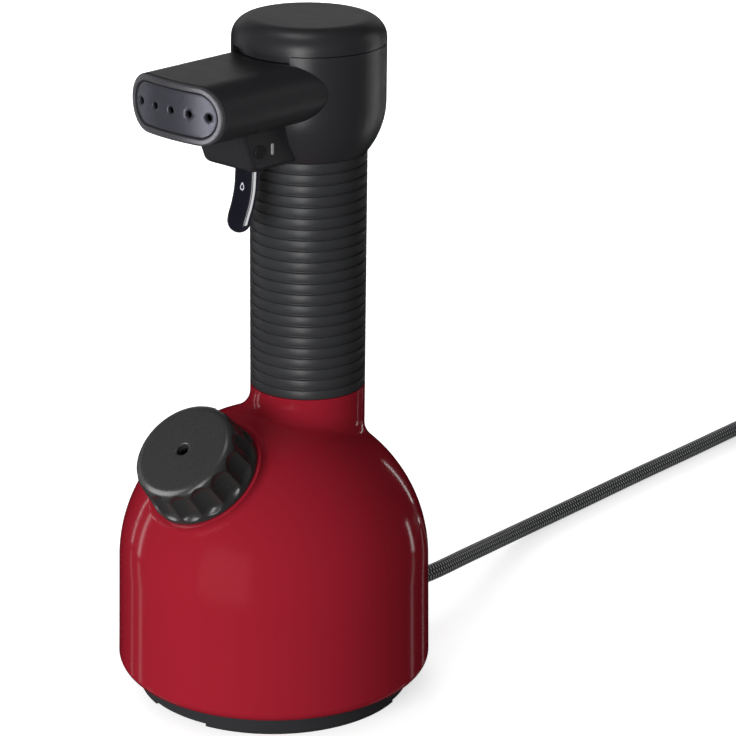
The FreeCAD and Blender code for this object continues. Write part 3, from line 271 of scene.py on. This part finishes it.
def make_materials():
    return {
        "red_gloss": red_gloss(),
        "black_satin": moulded("black_satin", (0.017, 0.017, 0.019), 0.38),
        "black_matte": moulded("black_matte", (0.019, 0.0192, 0.019), 0.27, grain=700.0,
                               depth=0.012 * MM),
        "black_gloss": moulded("black_gloss", (0.006, 0.006, 0.009), 0.08, depth=0.004 * MM),
        "grip_rubber": rubber("grip_rubber", (0.023, 0.0235, 0.025), 0.42),
        "foot_plastic": moulded("foot_plastic", (0.028, 0.028, 0.031), 0.45),
        "foot_rubber": rubber("foot_rubber", (0.025, 0.025, 0.025), 0.8),
        "rim_metal": metal("rim_metal", (0.17, 0.17, 0.185), 0.34, metallic=0.75),
        "plate_metal": metal("plate_metal", (0.11, 0.11, 0.135), 0.3, metallic=0.7),
        "steel": metal("steel", (0.55, 0.55, 0.56), 0.32),
        "brass": metal("brass", (0.68, 0.47, 0.17), 0.3),
        "inner_plastic": moulded("inner_plastic", (0.62, 0.61, 0.57), 0.5),
        "board_green": moulded("board_green", (0.02, 0.13, 0.05), 0.4),
        "silicone": rubber("silicone", (0.45, 0.06, 0.04), 0.5),
        "cord_braid": braid(),
        "plug_black": moulded("plug_black", (0.02, 0.02, 0.021), 0.42),
        "strap_fabric": rubber("strap_fabric", (0.02, 0.02, 0.021), 0.85),
        # Light grey for the housing pills: a painted highlight, not their own colour.
        "pill_highlight_grey": moulded("pill_highlight_grey", (0.42, 0.42, 0.43), 0.3),
        # Near-black steel for the pieces seen through the holes: painted shade in place of their own
        # colours.
        "hole_shade_steel": metal("hole_shade_steel", (0.05, 0.05, 0.05), 0.4),
        "sign_print": moulded("sign_print", (0.32, 0.33, 0.35), 0.4),
    }


def dress_nodes():
    """Every CAD part gets the material of its slot, apart from the inner pieces behind the holes,
    which get a near-black material as painted shade.
    """
    for part in frame["record"]["subparts"]:
        item = NODES[part["node"]]
        item.data.materials.clear()
        item.data.materials.append(MATERIALS[part["material_slot"]])
        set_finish(item, part["material_slot"])
    # Painted shade: the inner pieces behind the holes are made near black.
    for name in PAINTED_SHADE_INSIDE:
        NODES[name].data.materials[0] = MATERIALS["hole_shade_steel"]


# ---------------------------------------------------------------- mesh helpers

def add_object(name, mesh, material, body="housing", slot=None):
    item = bpy.data.objects.new(name, mesh)
    SCENE.collection.objects.link(item)
    mesh.materials.append(MATERIALS[material])
    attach(item, body)
    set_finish(item, slot or material)
    return item


def mesh_from(name, vertices, faces, uvs=None):
    mesh = bpy.data.meshes.new(name)
    mesh.from_pydata([tuple(v) for v in vertices], [], faces)
    if uvs is not None:
        layer = mesh.uv_layers.new(name="UVMap")
        layer.data.foreach_set("uv", np.asarray(uvs, float).ravel())
    mesh.validate()
    mesh.polygons.foreach_set("use_smooth", [True] * len(mesh.polygons))
    mesh.update()
    return mesh


def weld(mesh):
    """Join the stretches of a mesh where they meet and turn its faces one way."""
    work = bmesh.new()
    work.from_mesh(mesh)
    bmesh.ops.remove_doubles(work, verts=work.verts, dist=0.001 * MM)
    bmesh.ops.recalc_face_normals(work, faces=work.faces)
    work.to_mesh(mesh)
    work.free()


def grid_faces(rows, columns, wrap):
    """Quads of a grid whose columns may close into a ring."""
    faces = []
    for row in range(rows - 1):
        for column in range(columns if wrap else columns - 1):
            after = (column + 1) % columns
            faces.append((row * columns + column, row * columns + after,
                          (row + 1) * columns + after, (row + 1) * columns + column))
    return faces


# ---------------------------------------------------------------- cord

def smooth_line(points, step):
    """Evenly spaced points on the smooth curve that goes through the points (Catmull-Rom)."""
    steps = 24
    points = np.array(points, float)
    padded = np.vstack([2 * points[0] - points[1], points, 2 * points[-1] - points[-2]])
    dense = []
    for i in range(1, len(padded) - 2):
        before, a, b, after = padded[i - 1:i + 3]
        square = 2 * before - 5 * a + 4 * b - after
        cube = 3 * a - before - 3 * b + after
        for t in np.linspace(0, 1, steps, endpoint=False):
            dense.append(0.5 * (2 * a + (b - before) * t + square * t ** 2 + cube * t ** 3))
    dense.append(points[-1])
    return resample(np.array(dense), step)


def resample(line, step):
    lengths = np.r_[0, np.cumsum(np.linalg.norm(np.diff(line, axis=0), axis=1))]
    count = max(2, int(round(lengths[-1] / step)) + 1)
    even = np.linspace(0, lengths[-1], count)
    return np.stack([np.interp(even, lengths, line[:, k]) for k in range(3)], axis=1)


def coil_line():
    """Seven and a half turns in two columns and four layers; each turn steps to the next before
    the turn under it needs the place."""
    places = [(COIL_OUTER, 0), (COIL_INNER, 0), (COIL_INNER, 1), (COIL_OUTER, 1),
              (COIL_OUTER, 2), (COIL_INNER, 2), (COIL_INNER, 3), (COIL_OUTER, 3)]
    turns = 7.5
    degree_step = 2.0
    step_width = 48.0
    last = len(places) - 1
    line = []
    for degree in np.arange(0, turns * 360 + 0.1, degree_step):
        turn = min(int(degree // 360), last)
        within = degree - 360 * turn
        radius, height = places[turn][0], COIL_LAYERS[places[turn][1]]
        if turn < last:
            start = 360 - (turn + 1) * step_width
            share = min(1.0, max(0.0, (within - start) / step_width))
            share = share * share * (3 - 2 * share)
            radius += share * (places[turn + 1][0] - radius)
            height += share * (COIL_LAYERS[places[turn + 1][1]] - height)
        angle = math.pi - math.radians(degree)
        line.append((COIL_CENTRE.x + radius * math.cos(angle),
                     COIL_CENTRE.y + radius * math.sin(angle), height))
    return np.array(line)


def cord_line():
    """The lead's middle line: the free run to the table, the coil, and the tail to the plug."""
    run = [(0, 92, 16), (0, 98, 16), (-0.8, 114, 15.2), (-6, 140, 12.3), (-13, 170, 8.1),
           (-19, 205, 4.7), (-21.5, 250, 3.95), (-23.3, 300, 3.95), (-24.6, 350, 3.95),
           (-26.1, 397, 3.95), (-26.5, 440, 3.95)]
    tail = [(70.3, 440, 27.35), (70.3, 426, 26.3), (70.3, 407, 20.6), (70.3, 392, 19.0),
            (70.3, 386, 19.0)]
    whole = np.vstack([smooth_line(np.array(run) * MM, 2 * MM)[:-1], coil_line()[:-1],
                       smooth_line(np.array(tail) * MM, 2 * MM)])
    return resample(whole, 1.5 * MM)


def sweep(line, radius, sides):
    """Vertices, faces and UVs of a round tube; U goes once round it, V is the distance in metres."""
    tangents = np.gradient(line, axis=0)
    tangents /= np.linalg.norm(tangents, axis=1)[:, None]
    normal = np.array([0.0, 0.0, 1.0])
    vertices = []
    distances = np.r_[0, np.cumsum(np.linalg.norm(np.diff(line, axis=0), axis=1))]
    for point, tangent in zip(line, tangents):
        normal = normal - tangent * (normal @ tangent)
        normal /= np.linalg.norm(normal)
        side = np.cross(tangent, normal)
        for k in range(sides):
            angle = 2 * math.pi * k / sides
            vertices.append(point + radius * (math.cos(angle) * normal + math.sin(angle) * side))
    uvs = []
    for here, there in zip(distances, distances[1:]):
        for k in range(sides):
            left, right = k / sides, (k + 1) / sides
            uvs += [(left, here), (right, here), (right, there), (left, there)]
    return vertices, grid_faces(len(line), sides, True), uvs


def make_cord():
    """The braided lead in place of its plain CAD solids, with its tie."""
    line = cord_line()
    vertices, faces, uvs = sweep(line, CORD_RADIUS, 20)
    mesh = mesh_from("braided_cord", vertices, faces, uvs)
    cord = add_object("braided_cord", mesh, "cord_braid")
    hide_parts("cord_tube", "cord_coil", "cord_tail")
    tie = make_tie()


def make_tie():
    """Hook-and-loop strap round the coil's cross-section."""
    angle = math.radians(60)
    width, thickness = 14 * MM, 0.9 * MM
    inner, outer = 36.5 * MM, 52.5 * MM
    low, high = 0.1 * MM, 31.4 * MM
    corner, corner_steps = 3.6 * MM, 8
    lowest = 0.02 * MM
    out = Vector((math.cos(angle), math.sin(angle), 0))
    along = Vector((-math.sin(angle), math.cos(angle), 0))
    centre = Vector(((inner + outer) / 2, (low + high) / 2))
    corners = ((outer - corner, low + corner, -90), (outer - corner, high - corner, 0),
               (inner + corner, high - corner, 90), (inner + corner, low + corner, 180))
    profile = []
    for centre_r, centre_z, start in corners:
        for step in range(corner_steps + 1):
            turn = math.radians(start + 90 * step / corner_steps)
            profile.append((centre_r + corner * math.cos(turn), centre_z + corner * math.sin(turn)))
    # Share of the width and of the thickness at each row across the strap.
    strap = ((-0.5, 0.0), (-0.5, 0.75), (-0.44, 1.0), (0.44, 1.0), (0.5, 0.75), (0.5, 0.0))
    rows = []
    for share, lift in strap:
        for radius, height in profile:
            away = (Vector((radius, height)) - centre).normalized() * lift * thickness
            r, z = radius + away.x, max(height + away.y, lowest)
            rows.append(COIL_CENTRE + out * r + along * (share * width) + Vector((0, 0, z)))
    mesh = mesh_from("cord_tie", rows, grid_faces(len(strap), len(profile), True))
    return add_object("cord_tie", mesh, "strap_fabric", slot="black_matte")


# ---------------------------------------------------------------- filler cap

def make_cap():
    """The fluted knob: fifteen scooped flutes with round ends between a plain base ring and the
    rounded top edge, and the deep hole in the middle of its top. Heights are along its axis."""
    base, top = 67.2, 86.94
    base_radius, top_radius, hole = 26.0, 24.2, 2.8
    edge = 4.2
    side_steps, edge_steps = 58, 12
    flutes, first_flute, flute_points = 15, 10.5, 26
    depth, fullness, flute_share = 2.1, 0.8, 0.94
    flute_low, flute_high = 69.0, 85.2
    low_round, high_round = 3.0, 4.2
    inner_end = 19.0

    profile = [(base, base_radius - 1.2), (base, base_radius - 0.25), (base + 0.25, base_radius)]
    for s in np.linspace(base + 0.7, top - edge, side_steps):
        share = (s - base) / (top - edge - base)
        profile.append((s, base_radius + (top_radius - base_radius) * share))
    for turn in np.linspace(8, 90, edge_steps):
        angle = math.radians(turn)
        profile.append((top - edge + edge * math.sin(angle),
                        top_radius - edge + edge * math.cos(angle)))
    profile += [(top, r) for r in (18.0, 12.0, 6.0, 3.6)]
    profile += [(top - 0.08, hole + 0.35), (top - 0.35, hole + 0.06), (top - 0.8, hole),
                (top - 5.0, hole)]

    columns = flutes * flute_points
    half = 180.0 / flutes
    across = Vector((1, 0, 0))
    down = CAP_AXIS.cross(across)
    vertices = []
    for s, radius in profile:
        end = max(0.0, (s - (flute_high - high_round)) / high_round,
                  (flute_low + low_round - s) / low_round)
        for k in range(columns):
            degree = 360.0 * k / columns
            share = ((degree - first_flute + half) % (2 * half) - half) / (half * flute_share)
            scoop = 1 - share ** 2 - end ** 2
            fluted = scoop > 0 and radius > inner_end
            r = radius - (depth * scoop ** fullness if fluted else 0.0)
            angle = math.radians(degree)
            out = across * math.cos(angle) + down * math.sin(angle)
            vertices.append(CAP_ORIGIN + (CAP_AXIS * s + out * r) * MM)
    mesh = mesh_from("fluted_cap", vertices, grid_faces(len(profile), columns, True))
    cap = add_object("fluted_cap", mesh, "black_matte", body="cap_knob")
    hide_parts("filler_cap")


# ---------------------------------------------------------------- grip

def make_grip():
    """The rubber sleeve: twenty-two bands with eased edges and narrow grooves between them."""
    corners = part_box("grip_sleeve")
    centre = (corners[0] + corners[1]) / 2
    low, high = (corner.z / MM for corner in corners)
    radius, wall, segments = 25.67, 2.0, 160
    bands, groove, groove_depth = 22, 0.8, 0.9
    ease, shoulder = 0.35, 0.1
    pitch = (high - low + groove) / bands
    profile = [(radius - wall, low)]
    for band in range(bands):
        start = low + band * pitch
        end = start + pitch - groove
        profile += [(radius - groove_depth, start), (radius - ease, start),
                    (radius - shoulder, start + shoulder), (radius, start + ease),
                    (radius, (start + end) / 2), (radius, end - ease),
                    (radius - shoulder, end - shoulder), (radius - ease, end),
                    (radius - groove_depth, end)]
    profile.append((radius - wall, high))
    vertices = [(centre.x + r * MM * math.cos(2 * math.pi * k / segments),
                 centre.y + r * MM * math.sin(2 * math.pi * k / segments), z * MM)
                for r, z in profile for k in range(segments)]
    mesh = mesh_from("ribbed_grip", vertices, grid_faces(len(profile), segments, True))
    grip = add_object("ribbed_grip", mesh, "grip_rubber")
    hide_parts("grip_sleeve")


# ---------------------------------------------------------------- nozzle face and trigger

def stadium_outline(half_width, half_height, inset, count=40):
    """Points (x, z) round a bar-shaped outline with half-round ends, moved inwards by inset."""
    straight_steps = 12
    radius = half_height - inset
    shift = half_width - half_height
    points = []
    for sign, start in ((1, -90), (-1, 90)):
        for step in range(count + 1):
            angle = math.radians(start + 180.0 * step / count)
            points.append((sign * shift + radius * math.cos(angle), radius * math.sin(angle)))
        for step in range(1, straight_steps):
            points.append((sign * shift * (1 - 2 * step / straight_steps), sign * radius))
    return points


def bow(x):
    """How far the nozzle's face lies behind its foremost line at x, in millimetres."""
    return FACE_RADIUS - math.sqrt(FACE_RADIUS ** 2 - x * x)


def make_rim():
    """The metal ring round the steam plate, with a rounded outer edge, on the curved face."""
    low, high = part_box("steam_plate")
    level = (low.z + high.z) / 2 / MM
    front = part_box("nozzle_rim")[0].y / MM
    half_width, half_height = 27.5, 12.6
    # Inset from the outline and depth behind the face, from the outer wall to the recess.
    profile = [(0.02, 1.6), (0.0, 1.5), (0.0, 1.15), (0.1, 0.7), (0.32, 0.34), (0.68, 0.1), (1.1, 0.0),
               (2.55, 0.0), (2.8, 0.06), (2.97, 0.25), (3.03, 0.5), (3.1, 2.2), (3.9, 2.4)]
    rows = []
    for inset, depth in profile:
        for x, z in stadium_outline(half_width, half_height, inset):
            rows.append((x * MM, (front + bow(x) + depth) * MM, (level + z) * MM))
    columns = len(rows) // len(profile)
    mesh = mesh_from("nozzle_ring", rows, grid_faces(len(profile), columns, True))
    rim = add_object("nozzle_ring", mesh, "rim_metal")
    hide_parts("nozzle_rim")


def open_sheet(edge, centres, circle, opening, half_width, half_height):
    """Points and triangles of a flat sheet inside the edge, with a round opening at each centre."""
    spacing, margin, clearance = 1.2, 1.0, 0.5
    flat = [Vector(point) for point in edge]
    loops = [list(range(len(edge)))]
    for centre in centres:
        loops.append(list(range(len(flat), len(flat) + len(circle))))
        flat += [Vector((centre + opening * x, opening * z)) for x, z in circle]
    radius, shift = half_height - margin, half_width - half_height
    for x in np.arange(-half_width + margin, half_width, spacing):
        for z in np.arange(-half_height + margin, half_height, spacing):
            inside = math.hypot(max(0.0, abs(x) - shift), z) < radius
            if inside and all(math.hypot(x - c, z) > opening + clearance for c in centres):
                flat.append(Vector((x, z)))
    edges = [(loop[k], loop[(k + 1) % len(loop)]) for loop in loops for k in range(len(loop))]
    points, _, triangles = delaunay_2d_cdt(flat, edges, [], 1, 1e-5)[:3]
    faces = []
    for triangle in triangles:
        x = sum(points[k].x for k in triangle) / 3
        z = sum(points[k].y for k in triangle) / 3
        if all(math.hypot(x - c, z) > opening * 0.99 for c in centres):
            faces.append(tuple(triangle))
    return points, faces


def make_plate():
    """The curved steam plate: polished face with five countersunk holes in the ring's recess."""
    low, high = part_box("steam_plate")
    level = (low.z + high.z) / 2 / MM
    front, back = low.y / MM, high.y / MM
    half_width, half_height = (high.x - low.x) / 2 / MM, (high.z - low.z) / 2 / MM
    pitch, hole, sink = 9.9, 1.5, 1.85
    inset, end_steps, hole_sides = 0.25, 20, 24
    centres = [pitch * k for k in range(-2, 3)]
    turns = [2 * math.pi * k / hole_sides for k in range(hole_sides)]
    circle = [(math.cos(turn), math.sin(turn)) for turn in turns]

    edge = stadium_outline(half_width, half_height, inset, end_steps)
    points, faces = open_sheet(edge, centres, circle, sink, half_width, half_height)
    vertices = [(p.x, front + bow(p.x), p.y) for p in points]

    start = len(vertices)
    edge_steps = ((0.0, 0.0), (0.2, 0.06), (0.25, 0.3), (0.25, back - front - 2.2))
    for out, depth in edge_steps:
        grown = stadium_outline(half_width, half_height, inset - out, end_steps)
        vertices += [(x, front + bow(x) + depth, z) for x, z in grown]
    faces += [tuple(start + k for k in f) for f in grid_faces(len(edge_steps), len(edge), True)]

    hole_steps = ((sink, 0.0), (hole + 0.08, 0.22), (hole, 0.4), (hole, 1.5))
    for centre in centres:
        start = len(vertices)
        for size, depth in hole_steps:
            vertices += [(centre + size * x, front + bow(centre + size * x) + depth, size * z)
                         for x, z in circle]
        walls = grid_faces(len(hole_steps), hole_sides, True)
        faces += [tuple(start + k for k in f) for f in walls]

    placed = [(x * MM, y * MM, (level + z) * MM) for x, y, z in vertices]
    mesh = mesh_from("holed_plate", placed, faces)
    weld(mesh)
    plate = add_object("holed_plate", mesh, "plate_metal")
    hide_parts("steam_plate")


def rounded_bar(name, centre, half_sizes, normal, material, body):
    """A small raised pill with a crowned top. half_sizes are (half width, half height, depth)."""
    half_width, half_height, depth = half_sizes
    side = Vector((0, 0, 1)).cross(normal).normalized()
    rise = normal.cross(side)
    # Inset as a share of the half width, and height as a share of the depth.
    levels = ((0.0, -0.3), (0.0, 0.4), (0.12, 0.75), (0.35, 0.95), (0.7, 1.0))
    rows = []
    for inset, lift in levels:
        for x, z in stadium_outline(half_height, half_width, inset * half_width, 12):
            rows.append(centre + side * z * MM + rise * x * MM + normal * depth * lift * MM)
    columns = len(rows) // len(levels)
    faces = grid_faces(len(levels), columns, True)
    faces.append(tuple(range(len(rows) - columns, len(rows))))
    return add_object(name, mesh_from(name, rows, faces), material, body=body, slot="steel")


# Heights of the trigger's sections with the middle's Y, half thickness and half width, in mm.
TRIGGER_SECTIONS = (
    (256.0, -17.0, 2.55, 6.15), (250.0, -16.6, 2.5, 6.15), (244.5, -16.25, 2.5, 6.15),
    (239.0, -16.6, 2.4, 6.15), (234.0, -17.2, 2.3, 6.15), (229.0, -18.5, 2.3, 6.15),
    (225.5, -19.8, 2.35, 6.15), (222.5, -20.95, 2.45, 6.1), (220.0, -21.45, 2.6, 5.85),
    (218.4, -21.65, 2.6, 5.1), (217.2, -21.7, 2.4, 4.1), (216.4, -21.7, 2.0, 2.9),
    (216.0, -21.7, 1.4, 1.8), (215.9, -21.7, 0.4, 0.5),
)


def trigger_section(height):
    """Middle's Y, half thickness and half width of the trigger at that height, in mm."""
    table = np.array(TRIGGER_SECTIONS)[::-1]
    return [float(np.interp(height, table[:, 0], table[:, k])) for k in (1, 2, 3)]


def make_trigger():
    """The glossy lever: rounded-off edges, swept forwards at its lower end."""
    table = np.array(TRIGGER_SECTIONS)
    heights = smooth_line(np.c_[table[:, 0], table[:, 1], table[:, 2]], 0.5)
    columns, largest_corner = 48, 2.3
    rows = []
    for height, middle, thickness in heights:
        width = trigger_section(height)[2]
        corner = min(largest_corner, 0.98 * thickness, 0.98 * width)
        for k in range(columns):
            quarter, step = divmod(k, columns // 4)
            angle = math.radians(90 * quarter + 90.0 * step / (columns // 4 - 1))
            sign_x = 1 if quarter in (0, 3) else -1
            sign_y = 1 if quarter in (0, 1) else -1
            rows.append(((sign_x * (width - corner) + corner * math.cos(angle)) * MM,
                         (middle + sign_y * (thickness - corner) + corner * math.sin(angle)) * MM,
                         height * MM))
    faces = grid_faces(len(heights), columns, True)
    faces.append(tuple(range(len(rows) - columns, len(rows))))
    mesh = mesh_from("trigger_lever", rows, faces)
    lever = add_object("trigger_lever", mesh, "black_gloss", body="trigger")
    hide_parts("trigger")


def make_valve_spring():
    """The valve's return spring as a coil of wire at one length; the real one shortens as the stem
    rises.
    """
    low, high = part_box("valve_spring")
    middle = (low + high) / 2
    wire, travel = 0.4 * MM, 2.1 * MM
    turns, turn_steps, sides = 5, 36, 12
    radius = (high.x - low.x) / 2 - wire
    rows = turns * turn_steps + 1
    vertices = []
    for row in range(rows):
        share = row / (rows - 1)
        angle = 2 * math.pi * turns * share
        rise = low.z + wire + (high.z - low.z - 2 * wire) * share
        for side in range(sides):
            turn = 2 * math.pi * side / sides
            reach = radius + wire * math.cos(turn)
            vertices.append((middle.x + reach * math.cos(angle), middle.y + reach * math.sin(angle),
                             rise + wire * math.sin(turn)))
    faces = grid_faces(rows, sides, True)
    faces += [tuple(range(sides)), tuple(range((rows - 1) * sides, rows * sides))]
    mesh = mesh_from("valve_return_spring", vertices, faces)
    spring = add_object("valve_return_spring", mesh, "steel")
    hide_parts("valve_spring")
    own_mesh(spring)


def make_trigger_marks():
    """A raised pill on each side of the trigger housing, light grey as a painted highlight, and a
    plain steam-drop sign.
    """
    for sign, side in ((1, "right"), (-1, "left")):
        place = Vector((sign * 14.9, -16.2, 254.3)) * MM
        # The pills' light grey is a painted highlight.
        rounded_bar("housing_pill_" + side, place, (0.85, 2.5, 0.3), Vector((sign, 0, 0)),
                    "pill_highlight_grey", "housing")
    middle, half_width, half_height = 235.6, 1.1, 1.75
    points, proud = 32, 0.05
    ring = []
    for share in (1.0, 0.6):
        for step in range(points):
            angle = 2 * math.pi * step / points
            x = half_width * share * math.sin(angle) * (1 - 0.5 * math.cos(angle))
            z = middle + half_height * share * math.cos(angle) - 0.15 * (1 - share)
            y, half_thickness, _ = trigger_section(z)
            ring.append((x * MM, (y - half_thickness - proud) * MM, z * MM))
    faces = [(k, points + k, points + (k + 1) % points, (k + 1) % points) for k in range(points)]
    mesh = mesh_from("steam_sign", ring, faces)
    add_object("steam_sign", mesh, "sign_print", body="trigger", slot="black_gloss")


# ---------------------------------------------------------------- floor and light

def make_floor():
    """The pale floor, evenly bright, which neither lights the object nor shows in its gloss."""
    reach = 6
    corners = [(-reach, -reach, 0), (reach, -reach, 0), (reach, reach, 0), (-reach, reach, 0)]
    mesh = mesh_from("floor", corners, [(0, 1, 2, 3)])
    floor = bpy.data.objects.new("floor", mesh)
    SCENE.collection.objects.link(floor)
    shader = Shader("floor", (0.9, 0.9, 0.9), 0.9, specular=0.1)
    shader.vary_colour(shader.noise(0.8), 0.005)
    shader.main.inputs["Emission Color"].default_value = (1.0, 1.0, 1.0, 1.0)
    shader.main.inputs["Emission Strength"].default_value = 0.62
    mesh.materials.append(shader.material)
    floor.visible_glossy = False
    floor.visible_diffuse = False
    floor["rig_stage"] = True


def make_world():
    """An even white fill that doesn't show in the gloss."""
    world = bpy.data.worlds.new("world")
    SCENE.world = world
    world.use_nodes = True
    background = world.node_tree.nodes["Background"]
    background.inputs["Color"].default_value = (1.0, 1.0, 1.0, 1.0)
    background.inputs["Strength"].default_value = 0.36
    world.cycles_visibility.glossy = False


def lit_group(name, slots):
    """The pieces with these material slots, for a light that only they receive."""
    group = bpy.data.collections.new(name)
    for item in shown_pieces():
        if item.get("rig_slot") in slots:
            group.objects.link(item)
    return group


def make_lights():
    """Tall narrow strips beside and behind the object draw the lines in the red gloss, two large
    soft lights shade it, and panels that only some pieces receive bring out the dark ones."""
    centre = Vector((0, 0, 0.16))
    up = Vector((0, 0, 1))

    def direction(degrees):
        """Level direction at that angle to the right of the one from the object to the camera."""
        angle = CAMERA_AZIMUTH + math.radians(degrees)
        return Vector((math.sin(angle), -math.cos(angle), 0))

    # Angle, width, foot and top above the centre, and power for each square metre.
    strips = (
        (-114, 0.06, -0.33, 0.6, 6.9), (-114, 0.06, -1.4, -0.33, 2.2),
        (-127, 0.02, -0.33, 0.6, 11.8), (-127, 0.02, -1.4, -0.33, 3.0),
        (121, 0.05, -0.33, -0.1, 9.0), (121, 0.05, -1.4, -0.33, 1.8),
        (143, 0.03, -0.33, 0.12, 11.0), (143, 0.03, -1.4, -0.33, 2.0),
    )
    black = lit_group("black_pieces", ("black_satin", "black_matte", "grip_rubber", "black_gloss"))
    head = lit_group("head_pieces", ("black_satin",))
    cap = lit_group("cap_pieces", ("black_matte",))
    trigger = lit_group("trigger_pieces", ("black_gloss",))
    nozzle = lit_group("nozzle_metal", ("rim_metal", "plate_metal"))
    # Name, place from the centre, size, power, whether gloss shows it, and who receives it.
    lights = [
        ("strip%d" % index, direction(angle) * 1.1 + up * (foot + top) / 2, (width, top - foot),
         strength * width * (top - foot), True, None)
        for index, (angle, width, foot, top, strength) in enumerate(strips)
    ]
    lights += (
        ("key", direction(-36) * 1.7, (1.1, 1.1), 48.0, False, None),
        ("back_fill", direction(-165) * 1.7 + up * 0.5, (1.2, 1.2), 18.0, False, None),
        ("back_panel", direction(180) * 1.3 + up * 0.5, (1.6, 0.7), 1.2, True, black),
        ("top_panel", up * 1.2 + direction(-60) * 0.25, (0.5, 0.35), 2.0, True, black),
        ("satin_key", direction(-14) * 1.3 + up * 0.05, (0.35, 1.0), 10.0, True, black),
        ("satin_right", direction(112) * 1.2, (0.4, 1.4), 2.2, True, head),
        ("cap_panel", direction(-74) * 1.0 + up * 0.1, (0.8, 0.7), 11.0, True, cap),
        ("trigger_panel", direction(34) * 1.0 - up * 0.1, (1.0, 0.9), 42.0, True, trigger),
        ("plate_panel", direction(-60) * 0.95 - up * 0.16, (0.28, 0.5), 1.6, True, nozzle),
    )
    for name, place, size, power, shines, receivers in lights:
        data = bpy.data.lights.new(name, "AREA")
        data.shape = "RECTANGLE"
        data.size, data.size_y = size
        data.energy = power
        light = bpy.data.objects.new(name, data)
        SCENE.collection.objects.link(light)
        light.location = centre + place
        light.rotation_mode = "QUATERNION"
        light.rotation_quaternion = (-place).to_track_quat("-Z", "Y")
        light.visible_camera = False
        light.visible_glossy = shines
        if receivers is not None:
            light.light_linking.receiver_collection = receivers


# ---------------------------------------------------------------- the whole scene

make_camera()
MATERIALS = make_materials()
dress_nodes()
make_cord()
make_cap()
make_grip()
make_rim()
make_plate()
make_trigger()
make_trigger_marks()
make_valve_spring()
make_floor()
make_world()
make_lights()
SCENE.view_settings.view_transform = "Standard"
